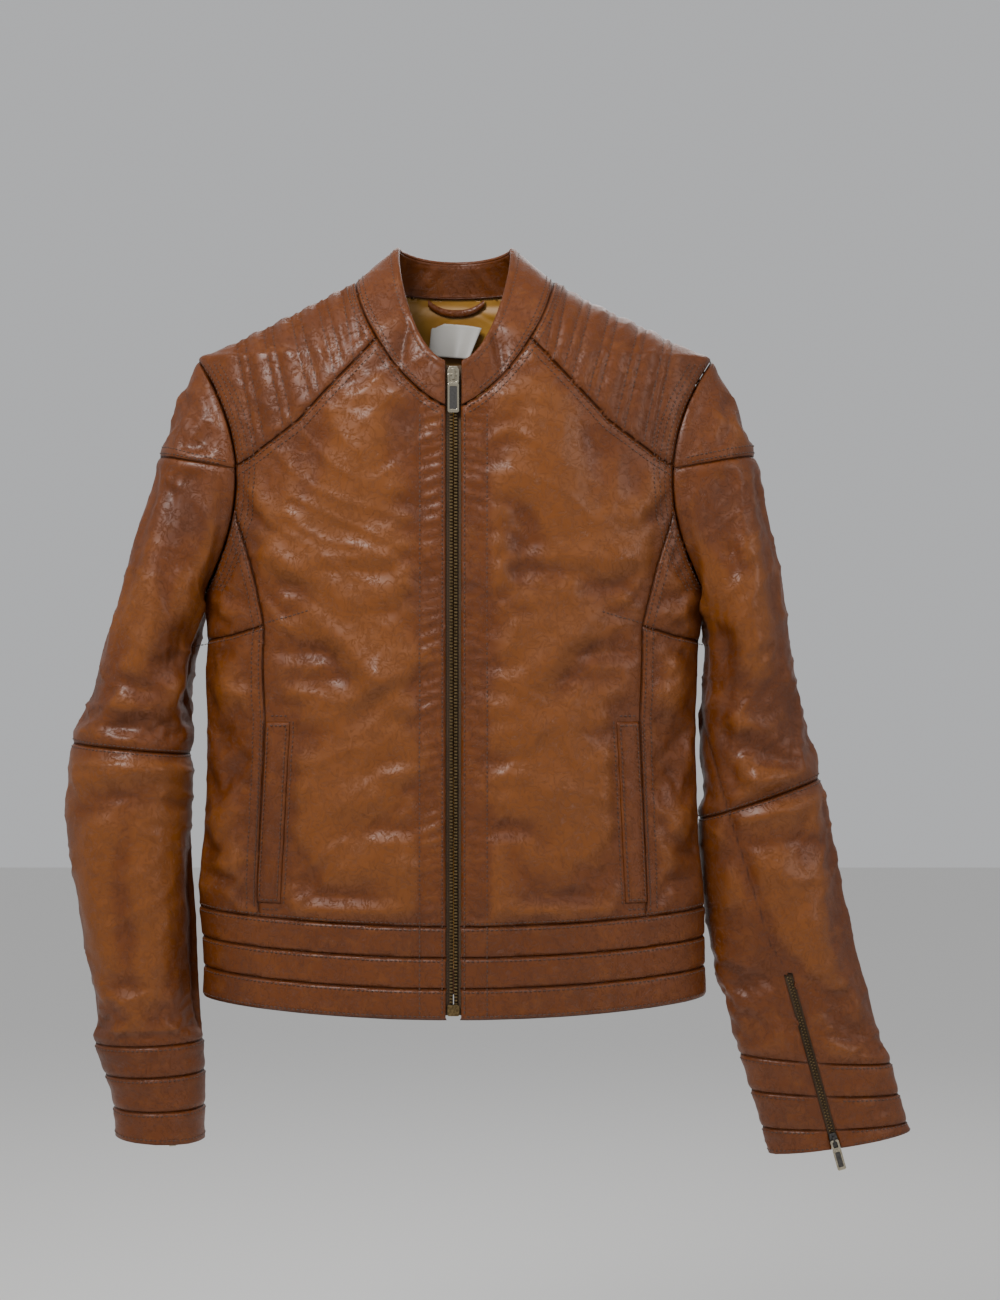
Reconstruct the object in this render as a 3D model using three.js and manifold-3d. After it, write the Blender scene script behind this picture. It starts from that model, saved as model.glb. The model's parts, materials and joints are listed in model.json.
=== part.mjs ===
// Leather riding jacket, women's medium, hanging closed with its sleeves down.
// Millimetres. +X is the wearer's left, -Y the front and +Z up. The origin lies midway between the
// two high shoulder points, where the collar meets the shoulders and the jacket rests when it hangs.
import * as THREE from 'three';
import { mergeVertices } from 'three/addons/utils/BufferGeometryUtils.js';
import Module from 'manifold-3d';

const wasm = await Module();
wasm.setup();

// ---- Driving dimensions ------------------------------------------------------------------------
const LEATHER = 1.4; // thickness of the outer leather
const LINING = 1.0; // thickness of the lining and the facings
const GAP = 0.3; // clearance between neighbouring pieces
const LINING_DEPTH = 4.0; // outer face of the leather to outer face of the lining
const BODY_LENGTH = 581; // high shoulder point to hem, at centre front
const SHOULDER_HALF = 206; // centre to shoulder point
const SHOULDER_DROP = 63; // high shoulder point to shoulder point
const UNDERARM_DROP = 249; // high shoulder point to underarm
const CHEST_FRONT = 72; // centre plane to front face at the chest
const CHEST_BACK = 58; // centre plane to back face at the chest
const WAIST_IN = 18; // waist half width less than the shoulder half width
const NECK_HALF = 79; // centre to high shoulder point
const NECK_DROP_FRONT = 108; // neck seam at centre front
const NECK_DROP_BACK = 6; // neck seam at centre back
const ARMHOLE_IN = 31; // how far the armhole curves towards the centre
const COLLAR_HALF = 47; // half width of the collar's top edge
const COLLAR_RISE = 28; // collar's top edge at the sides, above the neck seam
const COLLAR_DROP_FRONT = 74; // collar's top edge at centre front
const COLLAR_BACK = 42; // depth of the collar's top edge behind the centre plane
const HEM_BAND = 24; // height of each of the stitched hem bands
const HEM_BANDS = 3;
const HEM_SIDE_RISE = 10; // how much higher the hem is at the sides
const FACING_WIDTH = 50; // leather facing behind each front edge
const OPENING_HALF = 6; // centre to each leather front edge
const WAIST_SEAM_INSET = 59; // shoulder half width less the front seam's place at the waist
const WELT_WIDTH = 17;
const BAG_WIDTH = 62;
const WELT_LENGTH = 142;
const WELT_DROP = 351; // high shoulder point to the top of the pocket welt
const ZIP_TOOTH_HALF = 1.3; // half thickness of the main chain
const ZIP_TOOTH_REACH = 3.0; // centre to the back of the teeth
const ZIP_SPLIT = 0.8; // half of the space that the slider's bridge runs in
const ZIP_TAPE_WIDTH = 8;
const ZIP_TAPE = 0.8; // tape thickness
const ZIP_DEPTH = 3.3; // leather face to the middle of the chain
const CUFF_SLIT_HALF = 3.5;
const CUFF_ZIP_LENGTH = 146;
const PULL_LENGTH = 30;
const PULL_WIDTH = 9;

const HEM_TOP = BODY_LENGTH - HEM_BAND * HEM_BANDS;
const ZIP_TOP = COLLAR_DROP_FRONT + 5;
const ZIP_BOTTOM = BODY_LENGTH - 12;
const FAR = 400;

const COLOURS = {
  leather: { color: 0x8a4d28, roughness: 0.42, metalness: 0 },
  leatherDark: { color: 0x7c4220, roughness: 0.45, metalness: 0 },
  satin: { color: 0x96690f, roughness: 0.38, metalness: 0 },
  tape: { color: 0x4a3418, roughness: 0.85, metalness: 0 },
  brass: { color: 0x8d7743, roughness: 0.35, metalness: 1 },
  nickel: { color: 0xb9b3a4, roughness: 0.28, metalness: 1 },
  label: { color: 0xa7a39b, roughness: 0.5, metalness: 0 },
};

// ---- Solids ------------------------------------------------------------------------------------
const { Manifold } = wasm;

function fromGeometry(geometry) {
  geometry.deleteAttribute('normal');
  geometry.deleteAttribute('uv');
  const merged = mergeVertices(geometry, 1e-4);
  const mesh = new wasm.Mesh({
    numProp: 3,
    vertProperties: Float32Array.from(merged.attributes.position.array),
    triVerts: Uint32Array.from(merged.index.array),
  });
  return new Manifold(mesh);
}

function toGeometry(solid) {
  const mesh = solid.getMesh();
  const geometry = new THREE.BufferGeometry();
  geometry.setAttribute('position', new THREE.BufferAttribute(Float32Array.from(mesh.vertProperties), 3));
  geometry.setIndex(new THREE.BufferAttribute(Uint32Array.from(mesh.triVerts), 1));
  geometry.computeVertexNormals();
  return geometry;
}

/** A block between two corners. */
function block(low, high) {
  const size = high.map((value, axis) => value - low[axis]);
  const geometry = new THREE.BoxGeometry(...size);
  geometry.translate(...low.map((value, axis) => value + size[axis] / 2));
  return fromGeometry(geometry);
}

/** An outline of [x, z] points, pushed along Y from one depth to another. */
function prism(outline, fromY, toY) {
  const shape = new THREE.Shape(outline.map(([x, z]) => new THREE.Vector2(x, z)));
  const geometry = new THREE.ExtrudeGeometry(shape, { depth: toY - fromY, bevelEnabled: false, steps: 1 });
  geometry.rotateX(Math.PI / 2);
  geometry.translate(0, toY, 0);
  return fromGeometry(geometry);
}

/** A blade of a given width along a polyline of [x, z] points, to cut a seam. */
function blade(line, fromY, toY, width = GAP) {
  const sides = [[], []];
  line.forEach(([x, z], index) => {
    const before = line[Math.max(index - 1, 0)];
    const after = line[Math.min(index + 1, line.length - 1)];
    const along = new THREE.Vector2(after[0] - before[0], after[1] - before[1]).normalize();
    sides[0].push([x - along.y * width / 2, z + along.x * width / 2]);
    sides[1].push([x + along.y * width / 2, z - along.x * width / 2]);
  });
  return prism([...sides[0], ...sides[1].reverse()], fromY, toY);
}

/**
 * A sheet of even thickness on a surface(u, v), between two offsets along its outward normal.
 * `us` and `vs` are the grid lines, and a closed sheet joins its last u line to its first.
 */
function sheet(surface, us, vs, outer, inner, closed = false) {
  const step = 1e-4;
  const positions = [];
  for (const offset of [outer, inner]) {
    for (const v of vs) {
      for (const u of us) {
        const point = surface(u, v);
        const alongU = surface(u + step, v).sub(surface(u - step, v));
        const alongV = surface(u, v + step).sub(surface(u, v - step));
        const normal = alongU.cross(alongV).normalize();
        positions.push(...point.addScaledVector(normal, offset).toArray());
      }
    }
  }
  const columns = us.length;
  const layer = columns * vs.length;
  const at = (u, v, side) => side * layer + v * columns + (u % columns);
  const faces = [];
  const quad = (a, b, c, d) => faces.push(a, b, c, a, c, d);
  const lastU = closed ? columns : columns - 1;
  for (let v = 0; v < vs.length - 1; v += 1) {
    for (let u = 0; u < lastU; u += 1) {
      quad(at(u, v, 0), at(u + 1, v, 0), at(u + 1, v + 1, 0), at(u, v + 1, 0));
      quad(at(u, v, 1), at(u, v + 1, 1), at(u + 1, v + 1, 1), at(u + 1, v, 1));
    }
    if (!closed) {
      quad(at(0, v, 0), at(0, v + 1, 0), at(0, v + 1, 1), at(0, v, 1));
      quad(at(lastU, v, 0), at(lastU, v, 1), at(lastU, v + 1, 1), at(lastU, v + 1, 0));
    }
  }
  const lastV = vs.length - 1;
  for (let u = 0; u < lastU; u += 1) {
    quad(at(u, 0, 0), at(u, 0, 1), at(u + 1, 0, 1), at(u + 1, 0, 0));
    quad(at(u, lastV, 0), at(u + 1, lastV, 0), at(u + 1, lastV, 1), at(u, lastV, 1));
  }
  return new Manifold(new wasm.Mesh({
    numProp: 3,
    vertProperties: Float32Array.from(positions),
    triVerts: Uint32Array.from(faces),
  }));
}

function spread(from, to, count) {
  return Array.from({ length: count + 1 }, (_, index) => from + (to - from) * index / count);
}

/** The separate pieces of a solid, each found by a point that lies on it. */
function pieces(solid, points) {
  const parts = solid.decompose();
  const found = {};
  for (const [name, point] of Object.entries(points)) {
    const probe = block(point.map((value) => value - 7), point.map((value) => value + 7));
    const held = parts.map((part) => part.intersect(probe).volume());
    found[name] = parts[held.indexOf(Math.max(...held))];
  }
  return found;
}

/** Monotone cubic curve through [at, value] pairs. */
function curveThrough(pairs) {
  const slopes = pairs.slice(1).map(([at, value], index) => (value - pairs[index][1]) / (at - pairs[index][0]));
  const tangents = pairs.map((_, index) => {
    if (index === 0) return slopes[0];
    if (index === pairs.length - 1) return slopes[index - 1];
    const [before, after] = [slopes[index - 1], slopes[index]];
    return before * after <= 0 ? 0 : 2 * before * after / (before + after);
  });
  return (at) => {
    let index = 0;
    while (index < pairs.length - 2 && at > pairs[index + 1][0]) index += 1;
    const length = pairs[index + 1][0] - pairs[index][0];
    const t = (at - pairs[index][0]) / length;
    if (t < 0) return pairs[0][1] + tangents[0] * (at - pairs[0][0]);
    if (t > 1) return pairs[index + 1][1] + tangents[index + 1] * (at - pairs[index + 1][0]);
    const bend = t * t * (3 - 2 * t);
    return pairs[index][1] * (1 - bend) + pairs[index + 1][1] * bend
      + length * (tangents[index] * t * (1 - t) ** 2 - tangents[index + 1] * t * t * (1 - t));
  };
}

// ---- The body's surface ------------------------------------------------------------------------
const shoulderSlope = (SHOULDER_HALF - NECK_HALF) / SHOULDER_DROP;
const halfWidth = curveThrough([
  [-10, NECK_HALF - 10 * shoulderSlope],
  [0, NECK_HALF],
  [SHOULDER_DROP / 2, (NECK_HALF + SHOULDER_HALF) / 2],
  [SHOULDER_DROP - 5, SHOULDER_HALF - 5 * shoulderSlope],
  [SHOULDER_DROP, SHOULDER_HALF],
  [120, SHOULDER_HALF],
  [200, SHOULDER_HALF - 3],
  [UNDERARM_DROP, SHOULDER_HALF - 6],
  [300, SHOULDER_HALF - 15],
  [370, SHOULDER_HALF - WAIST_IN],
  [440, SHOULDER_HALF - WAIST_IN + 2],
  [500, SHOULDER_HALF - 10],
  [BODY_LENGTH, SHOULDER_HALF - 5],
]);
const frontDepth = curveThrough([
  [-10, CHEST_FRONT - 24],
  [0, CHEST_FRONT - 22],
  [SHOULDER_DROP, CHEST_FRONT - 6],
  [NECK_DROP_FRONT - 4, CHEST_FRONT],
  [BODY_LENGTH, CHEST_FRONT],
]);
const backDepth = curveThrough([
  [-10, CHEST_BACK - 13],
  [0, CHEST_BACK - 12],
  [SHOULDER_DROP, CHEST_BACK - 3],
  [150, CHEST_BACK + 2],
  [300, CHEST_BACK - 2],
  [400, CHEST_BACK - 8],
  [BODY_LENGTH, CHEST_BACK],
]);

/** Y of the body's front (side -1) or back (side 1) face at x, z. */
function faceY(x, z, side) {
  const depth = side < 0 ? frontDepth(-z) : backDepth(-z);
  return side * depth * Math.sqrt(Math.max(0, 1 - (x / halfWidth(-z)) ** 2));
}

function bodySurface(turn, drop) {
  const angle = 2 * Math.PI * turn;
  const sine = Math.sin(angle);
  const depth = sine > 0 ? frontDepth(drop) : backDepth(drop);
  return new THREE.Vector3(halfWidth(drop) * Math.cos(angle), -depth * sine, -drop);
}

const hemLine = (x, drop) => -drop + HEM_SIDE_RISE * (x / SHOULDER_HALF) ** 2;

/** The armhole seam, seen from the front: from the shoulder point (angle 0) to the underarm (pi). */
function armhole(angle) {
  const middle = (SHOULDER_DROP + UNDERARM_DROP) / 2;
  const radius = (UNDERARM_DROP - SHOULDER_DROP) / 2;
  const x = SHOULDER_HALF - 3 + 3 * Math.cos(angle) - ARMHOLE_IN * Math.sin(angle) ** 2;
  return [x, -middle + radius * Math.cos(angle)];
}

/** Everything on the body's side of the armholes, grown outwards by a clearance. */
function bodySide(grow) {
  const hem = spread(-SHOULDER_HALF - 20, SHOULDER_HALF + 20, 8);
  const below = hem.map((x) => [x, hemLine(x, BODY_LENGTH) - grow]);
  const rising = spread(Math.PI, 0, 12).map((angle) => armhole(angle));
  const sideLine = spread(340, UNDERARM_DROP + 2, 4).map((drop) => [halfWidth(drop) + 0.6, -drop]);
  const right = [
    [SHOULDER_HALF + 20, -345],
    ...(grow > 0 ? sideLine : [[SHOULDER_HALF + 20, -UNDERARM_DROP - 1]]),
    ...rising.map(([x, z]) => [x + grow, z]),
    [SHOULDER_HALF + grow, 40],
  ];
  const left = right.map(([x, z]) => [-x, z]).reverse();
  return prism([...below, ...right, ...left], -FAR, FAR);
}

/** The space above the neck seam, grown by a clearance. */
function neckSpace(grow) {
  const half = NECK_HALF + grow;
  const xs = spread(-1, 1, 20).map((t) => half * Math.sin(t * Math.PI / 2));
  const front = xs.map((x) => {
    const along = Math.max(0, 1 - (Math.abs(x) / half) ** 1.5);
    return [x, -(NECK_DROP_FRONT + grow) * along ** 0.68];
  });
  const back = xs.map((x) => [x, -(NECK_DROP_BACK + grow) * (1 - (x / half) ** 2)]);
  const cap = [[half, 60], [-half, 60]];
  return prism([...front, ...cap], -FAR, 0).add(prism([...back, ...cap], -0.01, FAR));
}

// ---- Body leather ------------------------------------------------------------------------------
const parts = [];

function add(name, material, solid, mirrored = false) {
  parts.push([name, material, mirrored ? solid.mirror([1, 0, 0]) : solid]);
}

const BODY_DROPS = [-3, 10, 28, 46, 58, 64, 80, 115, 160, 205, 249, 300, 370, 440, BODY_LENGTH + 9];
const turns = spread(0, 1, 28).slice(0, -1);
const bodyShell = sheet(bodySurface, turns, BODY_DROPS, 0, -LEATHER, true);
const bodyCut = bodyShell.intersect(bodySide(0)).subtract(neckSpace(0))
  .subtract(block([-OPENING_HALF, -FAR, -FAR * 2], [OPENING_HALF, 0, FAR]));

const hemXs = spread(-SHOULDER_HALF - 10, SHOULDER_HALF + 10, 8);
const hemSeams = spread(0, HEM_BANDS - 1, HEM_BANDS - 1)
  .map((band) => blade(hemXs.map((x) => [x, hemLine(x, HEM_TOP + band * HEM_BAND)]), -FAR, FAR));
const aboutHem = hemSeams.reduce((solid, seam) => solid.subtract(seam), bodyCut);
const bandPoints = { upper: [0, CHEST_BACK, -300] };
for (let band = 0; band < HEM_BANDS; band += 1) {
  bandPoints[`hem_band_${band + 1}`] = [0, CHEST_BACK, -(HEM_TOP + (band + 0.5) * HEM_BAND)];
}
const hemPieces = pieces(aboutHem, bandPoints);
for (let band = 1; band <= HEM_BANDS; band += 1) {
  add(`hem_band_${band}`, 'leather', hemPieces[`hem_band_${band}`]);
}

/** Seams of one half, as [x, z] points from the centre outwards; the other half is a mirror. */
const fromShoulder = (inset, z) => [SHOULDER_HALF - inset, z];
const fromNeck = (inset, z) => [NECK_HALF - inset, z];
const WAIST_SEAM = fromShoulder(WAIST_SEAM_INSET, -276);
const SEAMS = {
  frontYoke: [fromNeck(29, -41), fromNeck(15, -56), fromShoulder(84, -117), fromShoulder(46, -144),
    fromShoulder(16, -160)],
  frontPrincess: [fromShoulder(25, -164), fromShoulder(33, -188), fromShoulder(46, -227), WAIST_SEAM,
    fromShoulder(62, -349), fromShoulder(56, -HEM_TOP - 15)],
  frontWaist: [WAIST_SEAM, fromShoulder(34, -284), fromShoulder(-10, -292)],
  backYoke: [fromNeck(29, 6), fromNeck(19, -5), fromShoulder(31, -129), fromShoulder(14, -147)],
  backPrincess: [fromShoulder(21, -160), fromShoulder(36, -190), fromShoulder(68, -255),
    fromShoulder(94, -320), fromShoulder(101, -HEM_TOP - 15)],
};
const flip = (line) => line.map(([x, z]) => [-x, z]);
let upperBody = hemPieces.upper;
for (const [name, line] of Object.entries(SEAMS)) {
  const [fromY, toY] = name.startsWith('front') ? [-FAR, 0] : [0, FAR];
  upperBody = upperBody.subtract(blade(line, fromY, toY)).subtract(blade(flip(line), fromY, toY));
}
for (const side of [-1, 1]) {
  const xs = [side * 120, side * (SHOULDER_HALF + 10)].sort((a, b) => a - b);
  upperBody = upperBody.subtract(block([xs[0], -GAP / 2, -FAR * 2], [xs[1], GAP / 2, -UNDERARM_DROP + 6]));
}
const bodyPoints = { back_panel: [0, CHEST_BACK, -300] };
for (const [side, word] of [[1, 'left'], [-1, 'right']]) {
  const on = (x, z, face) => [side * x, faceY(x, z, face), z];
  const ridge = (NECK_HALF + SHOULDER_HALF) / 2;
  bodyPoints[`${word}_yoke`] = [side * ridge, 0, -SHOULDER_DROP / 2 - 2];
  bodyPoints[`${word}_front_panel`] = on(70, -300, -1);
  bodyPoints[`${word}_front_side_upper`] = on(SHOULDER_HALF - 28, -255, -1);
  bodyPoints[`${word}_front_side_lower`] = on(SHOULDER_HALF - 36, -380, -1);
  bodyPoints[`${word}_back_side`] = on(SHOULDER_HALF - 36, -380, 1);
}
for (const [name, solid] of Object.entries(pieces(upperBody, bodyPoints))) {
  add(name, name.endsWith('yoke') ? 'leatherDark' : 'leather', solid);
}

// ---- Collar ------------------------------------------------------------------------------------
/** The collar, from one front edge (u 0) round the back to the other (u 1), seam (v 0) to top (v 1). */
function collarSurface(u, v) {
  const side = u < 0.5 ? 1 : -1;
  const turn = Math.PI * (1 - Math.abs(1 - 2 * u));
  const isFront = turn < Math.PI / 2;
  const sine = Math.sin(turn);
  const frontShare = isFront ? OPENING_HALF + 0.3 : (OPENING_HALF + 0.3) * sine;
  const seamX = frontShare + (NECK_HALF - OPENING_HALF - 0.3) * sine;
  const topX = frontShare + (COLLAR_HALF - OPENING_HALF - 0.3) * sine;
  const seamZ = isFront
    ? -NECK_DROP_FRONT * (1 - (seamX / NECK_HALF) ** 1.5) ** 0.68
    : -NECK_DROP_BACK * (1 - (seamX / NECK_HALF) ** 2);
  const seamY = faceY(Math.min(seamX, NECK_HALF - 1e-6), seamZ, isFront ? -1 : 1);
  const topZ = isFront
    ? COLLAR_RISE - (COLLAR_RISE + COLLAR_DROP_FRONT) * (1 - (topX / COLLAR_HALF) ** 2.2) ** 0.7
    : COLLAR_RISE - 6 * Math.cos(turn) ** 2;
  const topY = isFront ? -(CHEST_FRONT - 0.5) * (1 - (2 * turn / Math.PI) ** 2) : -COLLAR_BACK * Math.cos(turn);
  const seam = new THREE.Vector3(side * seamX, seamY, seamZ + GAP + 0.1);
  const top = new THREE.Vector3(side * topX, topY, topZ);
  return seam.lerp(top, v);
}
const collarUs = spread(0, 1, 30).map((t) => 0.0005 + 0.999 * t);
const seamAllowance = sheet(bodySurface, turns, BODY_DROPS.slice(0, 9), GAP, -LEATHER - GAP, true)
  .subtract(neckSpace(-GAP));
for (const [name, outer] of [['collar_outer', 0], ['collar_inner', -LINING_DEPTH]]) {
  const layer = sheet(collarSurface, collarUs, spread(0, 1, 2), outer, outer - LEATHER + 0.2);
  const bodies = layer.subtract(seamAllowance).decompose();
  bodies.sort((a, b) => b.volume() - a.volume());
  add(name, 'leather', bodies[0]);
}

// ---- Lining and facings of the body ------------------------------------------------------------
const liningDrops = [...BODY_DROPS.slice(0, -1), HEM_TOP + HEM_BAND * 2];
const facingEdge = OPENING_HALF + 2 + FACING_WIDTH;
let innerShell = sheet(bodySurface, turns, liningDrops, -LINING_DEPTH, -LINING_DEPTH - LINING, true)
  .intersect(bodySide(0)).subtract(neckSpace(2.5))
  .subtract(block([-OPENING_HALF - 2, -FAR, -FAR * 2], [OPENING_HALF + 2, 0, FAR]))
  .subtract(block([-FAR, -GAP / 2, -FAR * 2], [FAR, GAP / 2, FAR]))
  .subtract(sheet(collarSurface, collarUs, [-0.1, 0.5, 1], GAP - LINING_DEPTH, -LINING_DEPTH - LEATHER - GAP));
for (const side of [-1, 1]) {
  innerShell = innerShell.subtract(blade([[side * facingEdge, 0], [side * facingEdge, -BODY_LENGTH]], -FAR, 0));
}
const facingHalf = [[50, -45], [NECK_HALF + 16, -25], [NECK_HALF + 35, 2]];
const BACK_FACING = [...flip(facingHalf).reverse(), [0, -50], ...facingHalf];
innerShell = innerShell.subtract(blade(BACK_FACING, 0, FAR));
const innerPieces = pieces(innerShell, {
  back_neck_facing: [0, 42, -20],
  back_lining: [0, CHEST_BACK - LINING_DEPTH, -300],
  left_front_facing: [30, -67.5, -300],
  right_front_facing: [-30, -67.5, -300],
  left_front_lining: [110, -58, -300],
  right_front_lining: [-110, -58, -300],
});
for (const [name, solid] of Object.entries(innerPieces)) {
  add(name, name.endsWith('facing') ? 'leather' : 'satin', solid);
}

// ---- Pockets, hanging loop and label ------------------------------------------------------------
/** A straight-sided patch on the front, leaning from xTop to xBottom, both given at its centre. */
function frontPatch(side, xTop, xBottom, width, drop, length, outer, inner) {
  const surface = (u, v) => {
    const centre = xTop + (xBottom - xTop) * v;
    const x = side * centre - u * width;
    const z = -drop - length * v;
    return new THREE.Vector3(x, faceY(x, z, -1), z);
  };
  return sheet(surface, spread(-0.5, 0.5, 3), spread(0, 1, 5), outer, inner);
}
for (const [side, word] of [[1, 'left'], [-1, 'right']]) {
  const weltX = SHOULDER_HALF - WAIST_SEAM_INSET - WELT_WIDTH / 2 - 4;
  add(`${word}_pocket_welt`, 'leather',
    frontPatch(side, weltX, weltX + 6.5, WELT_WIDTH, WELT_DROP, WELT_LENGTH, 1.7, 0.4));
  add(`${word}_pocket_bag`, 'satin',
    frontPatch(side, weltX - 38.5, weltX - 34.5, BAG_WIDTH, WELT_DROP - 12, WELT_LENGTH - 6, -2.5, -3.1));
}

const LOOP_HALF = 23;
const loopPath = new THREE.CatmullRomCurve3([-1, -0.5, 0, 0.5, 1].map((t) => {
  const z = -19 + 9 * t * t;
  const clearance = 1.6 + 4.2 * (1 - t * t);
  return new THREE.Vector3(LOOP_HALF * t, faceY(LOOP_HALF * t, z, 1) - LINING_DEPTH - LINING - clearance, z);
}));
const strap = new THREE.Shape();
strap.moveTo(-0.7, -3).lineTo(0.7, -3).lineTo(0.7, 3).lineTo(-0.7, 3).closePath();
add('hanging_loop', 'leather',
  fromGeometry(new THREE.ExtrudeGeometry(strap, { steps: 12, extrudePath: loopPath, bevelEnabled: false })));

const labelSurface = (u, v) => new THREE.Vector3(u, faceY(u, -v, 1), -v);
add('label', 'label', sheet(labelSurface, spread(-21, 21, 4), spread(24, 60, 3),
  -LINING_DEPTH - LINING - GAP * 2, -LINING_DEPTH - LINING - GAP * 2 - 0.5));

// ---- Zips --------------------------------------------------------------------------------------
/**
 * A zip slider about its own middle: z runs up the chain and y goes into the jacket. A front and a
 * back plate are joined by a thin bridge at the top, and an arch on the front carries the pull.
 */
function zipSlider({ half, height, toothHalf, tapeSide, split }) {
  const front = -toothHalf - GAP;
  const plate = 1.5;
  const archSpace = 2;
  const back = tapeSide + GAP;
  const face = front - plate;
  const arch = [
    block([-1.6, face - archSpace, 2.4], [1.6, face + 0.2, 3.6]),
    block([-1.6, face - archSpace, -3.6], [1.6, face + 0.2, -2.4]),
    block([-1.6, face - archSpace - 1, -3.6], [1.6, face - archSpace, 3.6]),
  ];
  const solid = [
    block([-half, face, -height / 2], [half, front, height / 2]),
    block([-half, back, -height / 2], [half, back + 1.1, height / 2]),
    block([-split + GAP, face, height / 2 - 3.5], [split - GAP, back + 1.1, height / 2]),
    ...arch,
  ].reduce((sum, piece) => sum.add(piece));
  return { solid, pinY: face - archSpace / 2 };
}

/** A zip pull hanging from its cross pin, about the pin: a frame round the arch, then a plate. */
function zipPull(width, length) {
  const thick = 1.1;
  const arm = 1.3;
  const inside = 2.2;
  const neck = 8;
  const y = [-thick / 2, thick / 2];
  return [
    block([-inside - arm, y[0], -thick / 2], [inside + arm, y[1], thick / 2]),
    block([-inside - arm, y[0], -neck], [-inside, y[1], 0]),
    block([inside, y[0], -neck], [inside + arm, y[1], 0]),
    block([-width / 2, y[0], -length], [width / 2, y[1], -neck + 1]),
  ].reduce((sum, piece) => sum.add(piece));
}

const chainY = -CHEST_FRONT + ZIP_DEPTH;
for (const [side, word] of [[1, 'left'], [-1, 'right']]) {
  const teeth = block([ZIP_SPLIT, -ZIP_TOOTH_HALF, -ZIP_BOTTOM], [ZIP_TOOTH_REACH, ZIP_TOOTH_HALF, -ZIP_TOP]);
  const tape = block(
    [ZIP_TOOTH_REACH + 0.2, -ZIP_TAPE / 2, -ZIP_BOTTOM],
    [ZIP_TOOTH_REACH + 0.2 + ZIP_TAPE_WIDTH, ZIP_TAPE / 2, -ZIP_TOP],
  );
  add(`${word}_zip_teeth`, 'brass', teeth.translate([0, chainY, 0]), side < 0);
  add(`${word}_zip_tape`, 'tape', tape.translate([0, chainY, 0]), side < 0);
}
const boxHalf = OPENING_HALF - 1.2;
add('zip_retainer_box', 'brass',
  block([-boxHalf, chainY - 1.9, -ZIP_BOTTOM - 9], [boxHalf, chainY + 1.7, -ZIP_BOTTOM - GAP]));
const mainSlider = zipSlider({
  half: boxHalf, height: 12, toothHalf: ZIP_TOOTH_HALF, tapeSide: ZIP_TOOTH_HALF, split: ZIP_SPLIT,
});
const sliderZ = -ZIP_TOP - 3;
add('zip_slider', 'nickel', mainSlider.solid.translate([0, chainY, sliderZ]));
add('zip_pull', 'nickel', zipPull(PULL_WIDTH, PULL_LENGTH).translate([0, chainY + mainSlider.pinY, sliderZ]));

// ---- Sleeves -----------------------------------------------------------------------------------
/**
 * Sleeve stations from the armhole to the cuff, measured from the shoulder point: x and drop of the
 * outer edge, x and drop of the inner edge, half depth, and how far the middle lies back.
 */
const RIGHT_SLEEVE = [
  [0, 0, -6, 186, 46, 0],
  [15, 32, -3, 194, 46, 0],
  [30, 76, 0, 206, 47, 0],
  [47, 127, 2, 222, 47, 0],
  [66, 192, 4, 249, 46, 0],
  [86, 257, 5, 282, 45, 0],
  [100, 306, 7, 315, 44, 0],
  [104, 373, 8, 373, 43, 0],
  [96, 436, 3, 452, 41, 0],
  [87, 507, 0, 507, 39, 0],
  [83, 546, -3, 544, 37, 0],
  [75, 571, -4, 569, 36.5, 0],
  [68, 597, -4, 597, 36, 0],
  [67, 620, -4, 624, 36, 0],
];
const LEFT_SLEEVE = [
  [0, 0, -6, 186, 46, 0],
  [24, 48, -3, 197, 45, 1],
  [40, 98, -2, 210, 44, 3],
  [54, 163, -3, 239, 43, 5],
  [65, 224, -6, 275, 41, 8],
  [76, 280, -8, 322, 38, 10],
  [87, 335, -9, 368, 36, 11],
  [101, 398, -8, 399, 34, 12],
  [116, 461, -6, 428, 33, 12],
  [128, 506, 3, 480, 30, 11],
  [138, 545, 10, 514, 28, 10],
  [145, 565, 24, 558, 27, 10],
  [151, 590, 33, 587, 25, 10],
  [158, 613, 42, 617, 24, 10],
  [160, 620, 47, 638, 24, 10],
];
const SLEEVES = {
  right: { stations: RIGHT_SLEEVE, elbow: 6, cuff: 10, zipFace: 1, side: -1 },
  left: { stations: LEFT_SLEEVE, elbow: 6, cuff: 11, zipFace: -1, side: 1 },
};
const CUFF_SEAMS = 3;

/** A sleeve's surface in positive x: u turns from the outer edge over the front, v counts stations. */
function sleeveSurface(stations) {
  const curves = stations[0].map((_, key) => curveThrough(stations.map((row, at) => [at, row[key]])));
  return (turn, at) => {
    const angle = 2 * Math.PI * turn;
    const [outX, outDrop, inX, inDrop, depth, back] = curves.map((curve) => curve(at));
    const share = Math.cos(angle) / 2;
    const point = new THREE.Vector3(
      SHOULDER_HALF + (outX + inX) / 2 + (outX - inX) * share,
      back - depth * Math.sin(angle),
      -SHOULDER_DROP - (outDrop + inDrop) / 2 - (outDrop - inDrop) * share,
    );
    if (at < 2.5) {
      const [x, z] = armhole(angle);
      const front = Math.sin(angle) > 0 ? -1 : 1;
      const seam = new THREE.Vector3(x, faceY(x, z, front), z);
      const [x0, z0] = [SHOULDER_HALF - 3 + 3 * Math.cos(angle), z];
      const start = new THREE.Vector3(x0, -stations[0][4] * Math.sin(angle), z0);
      point.addScaledVector(seam.sub(start), Math.max(0, 1 - at / 2.5) ** 2);
    }
    return point;
  };
}

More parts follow.
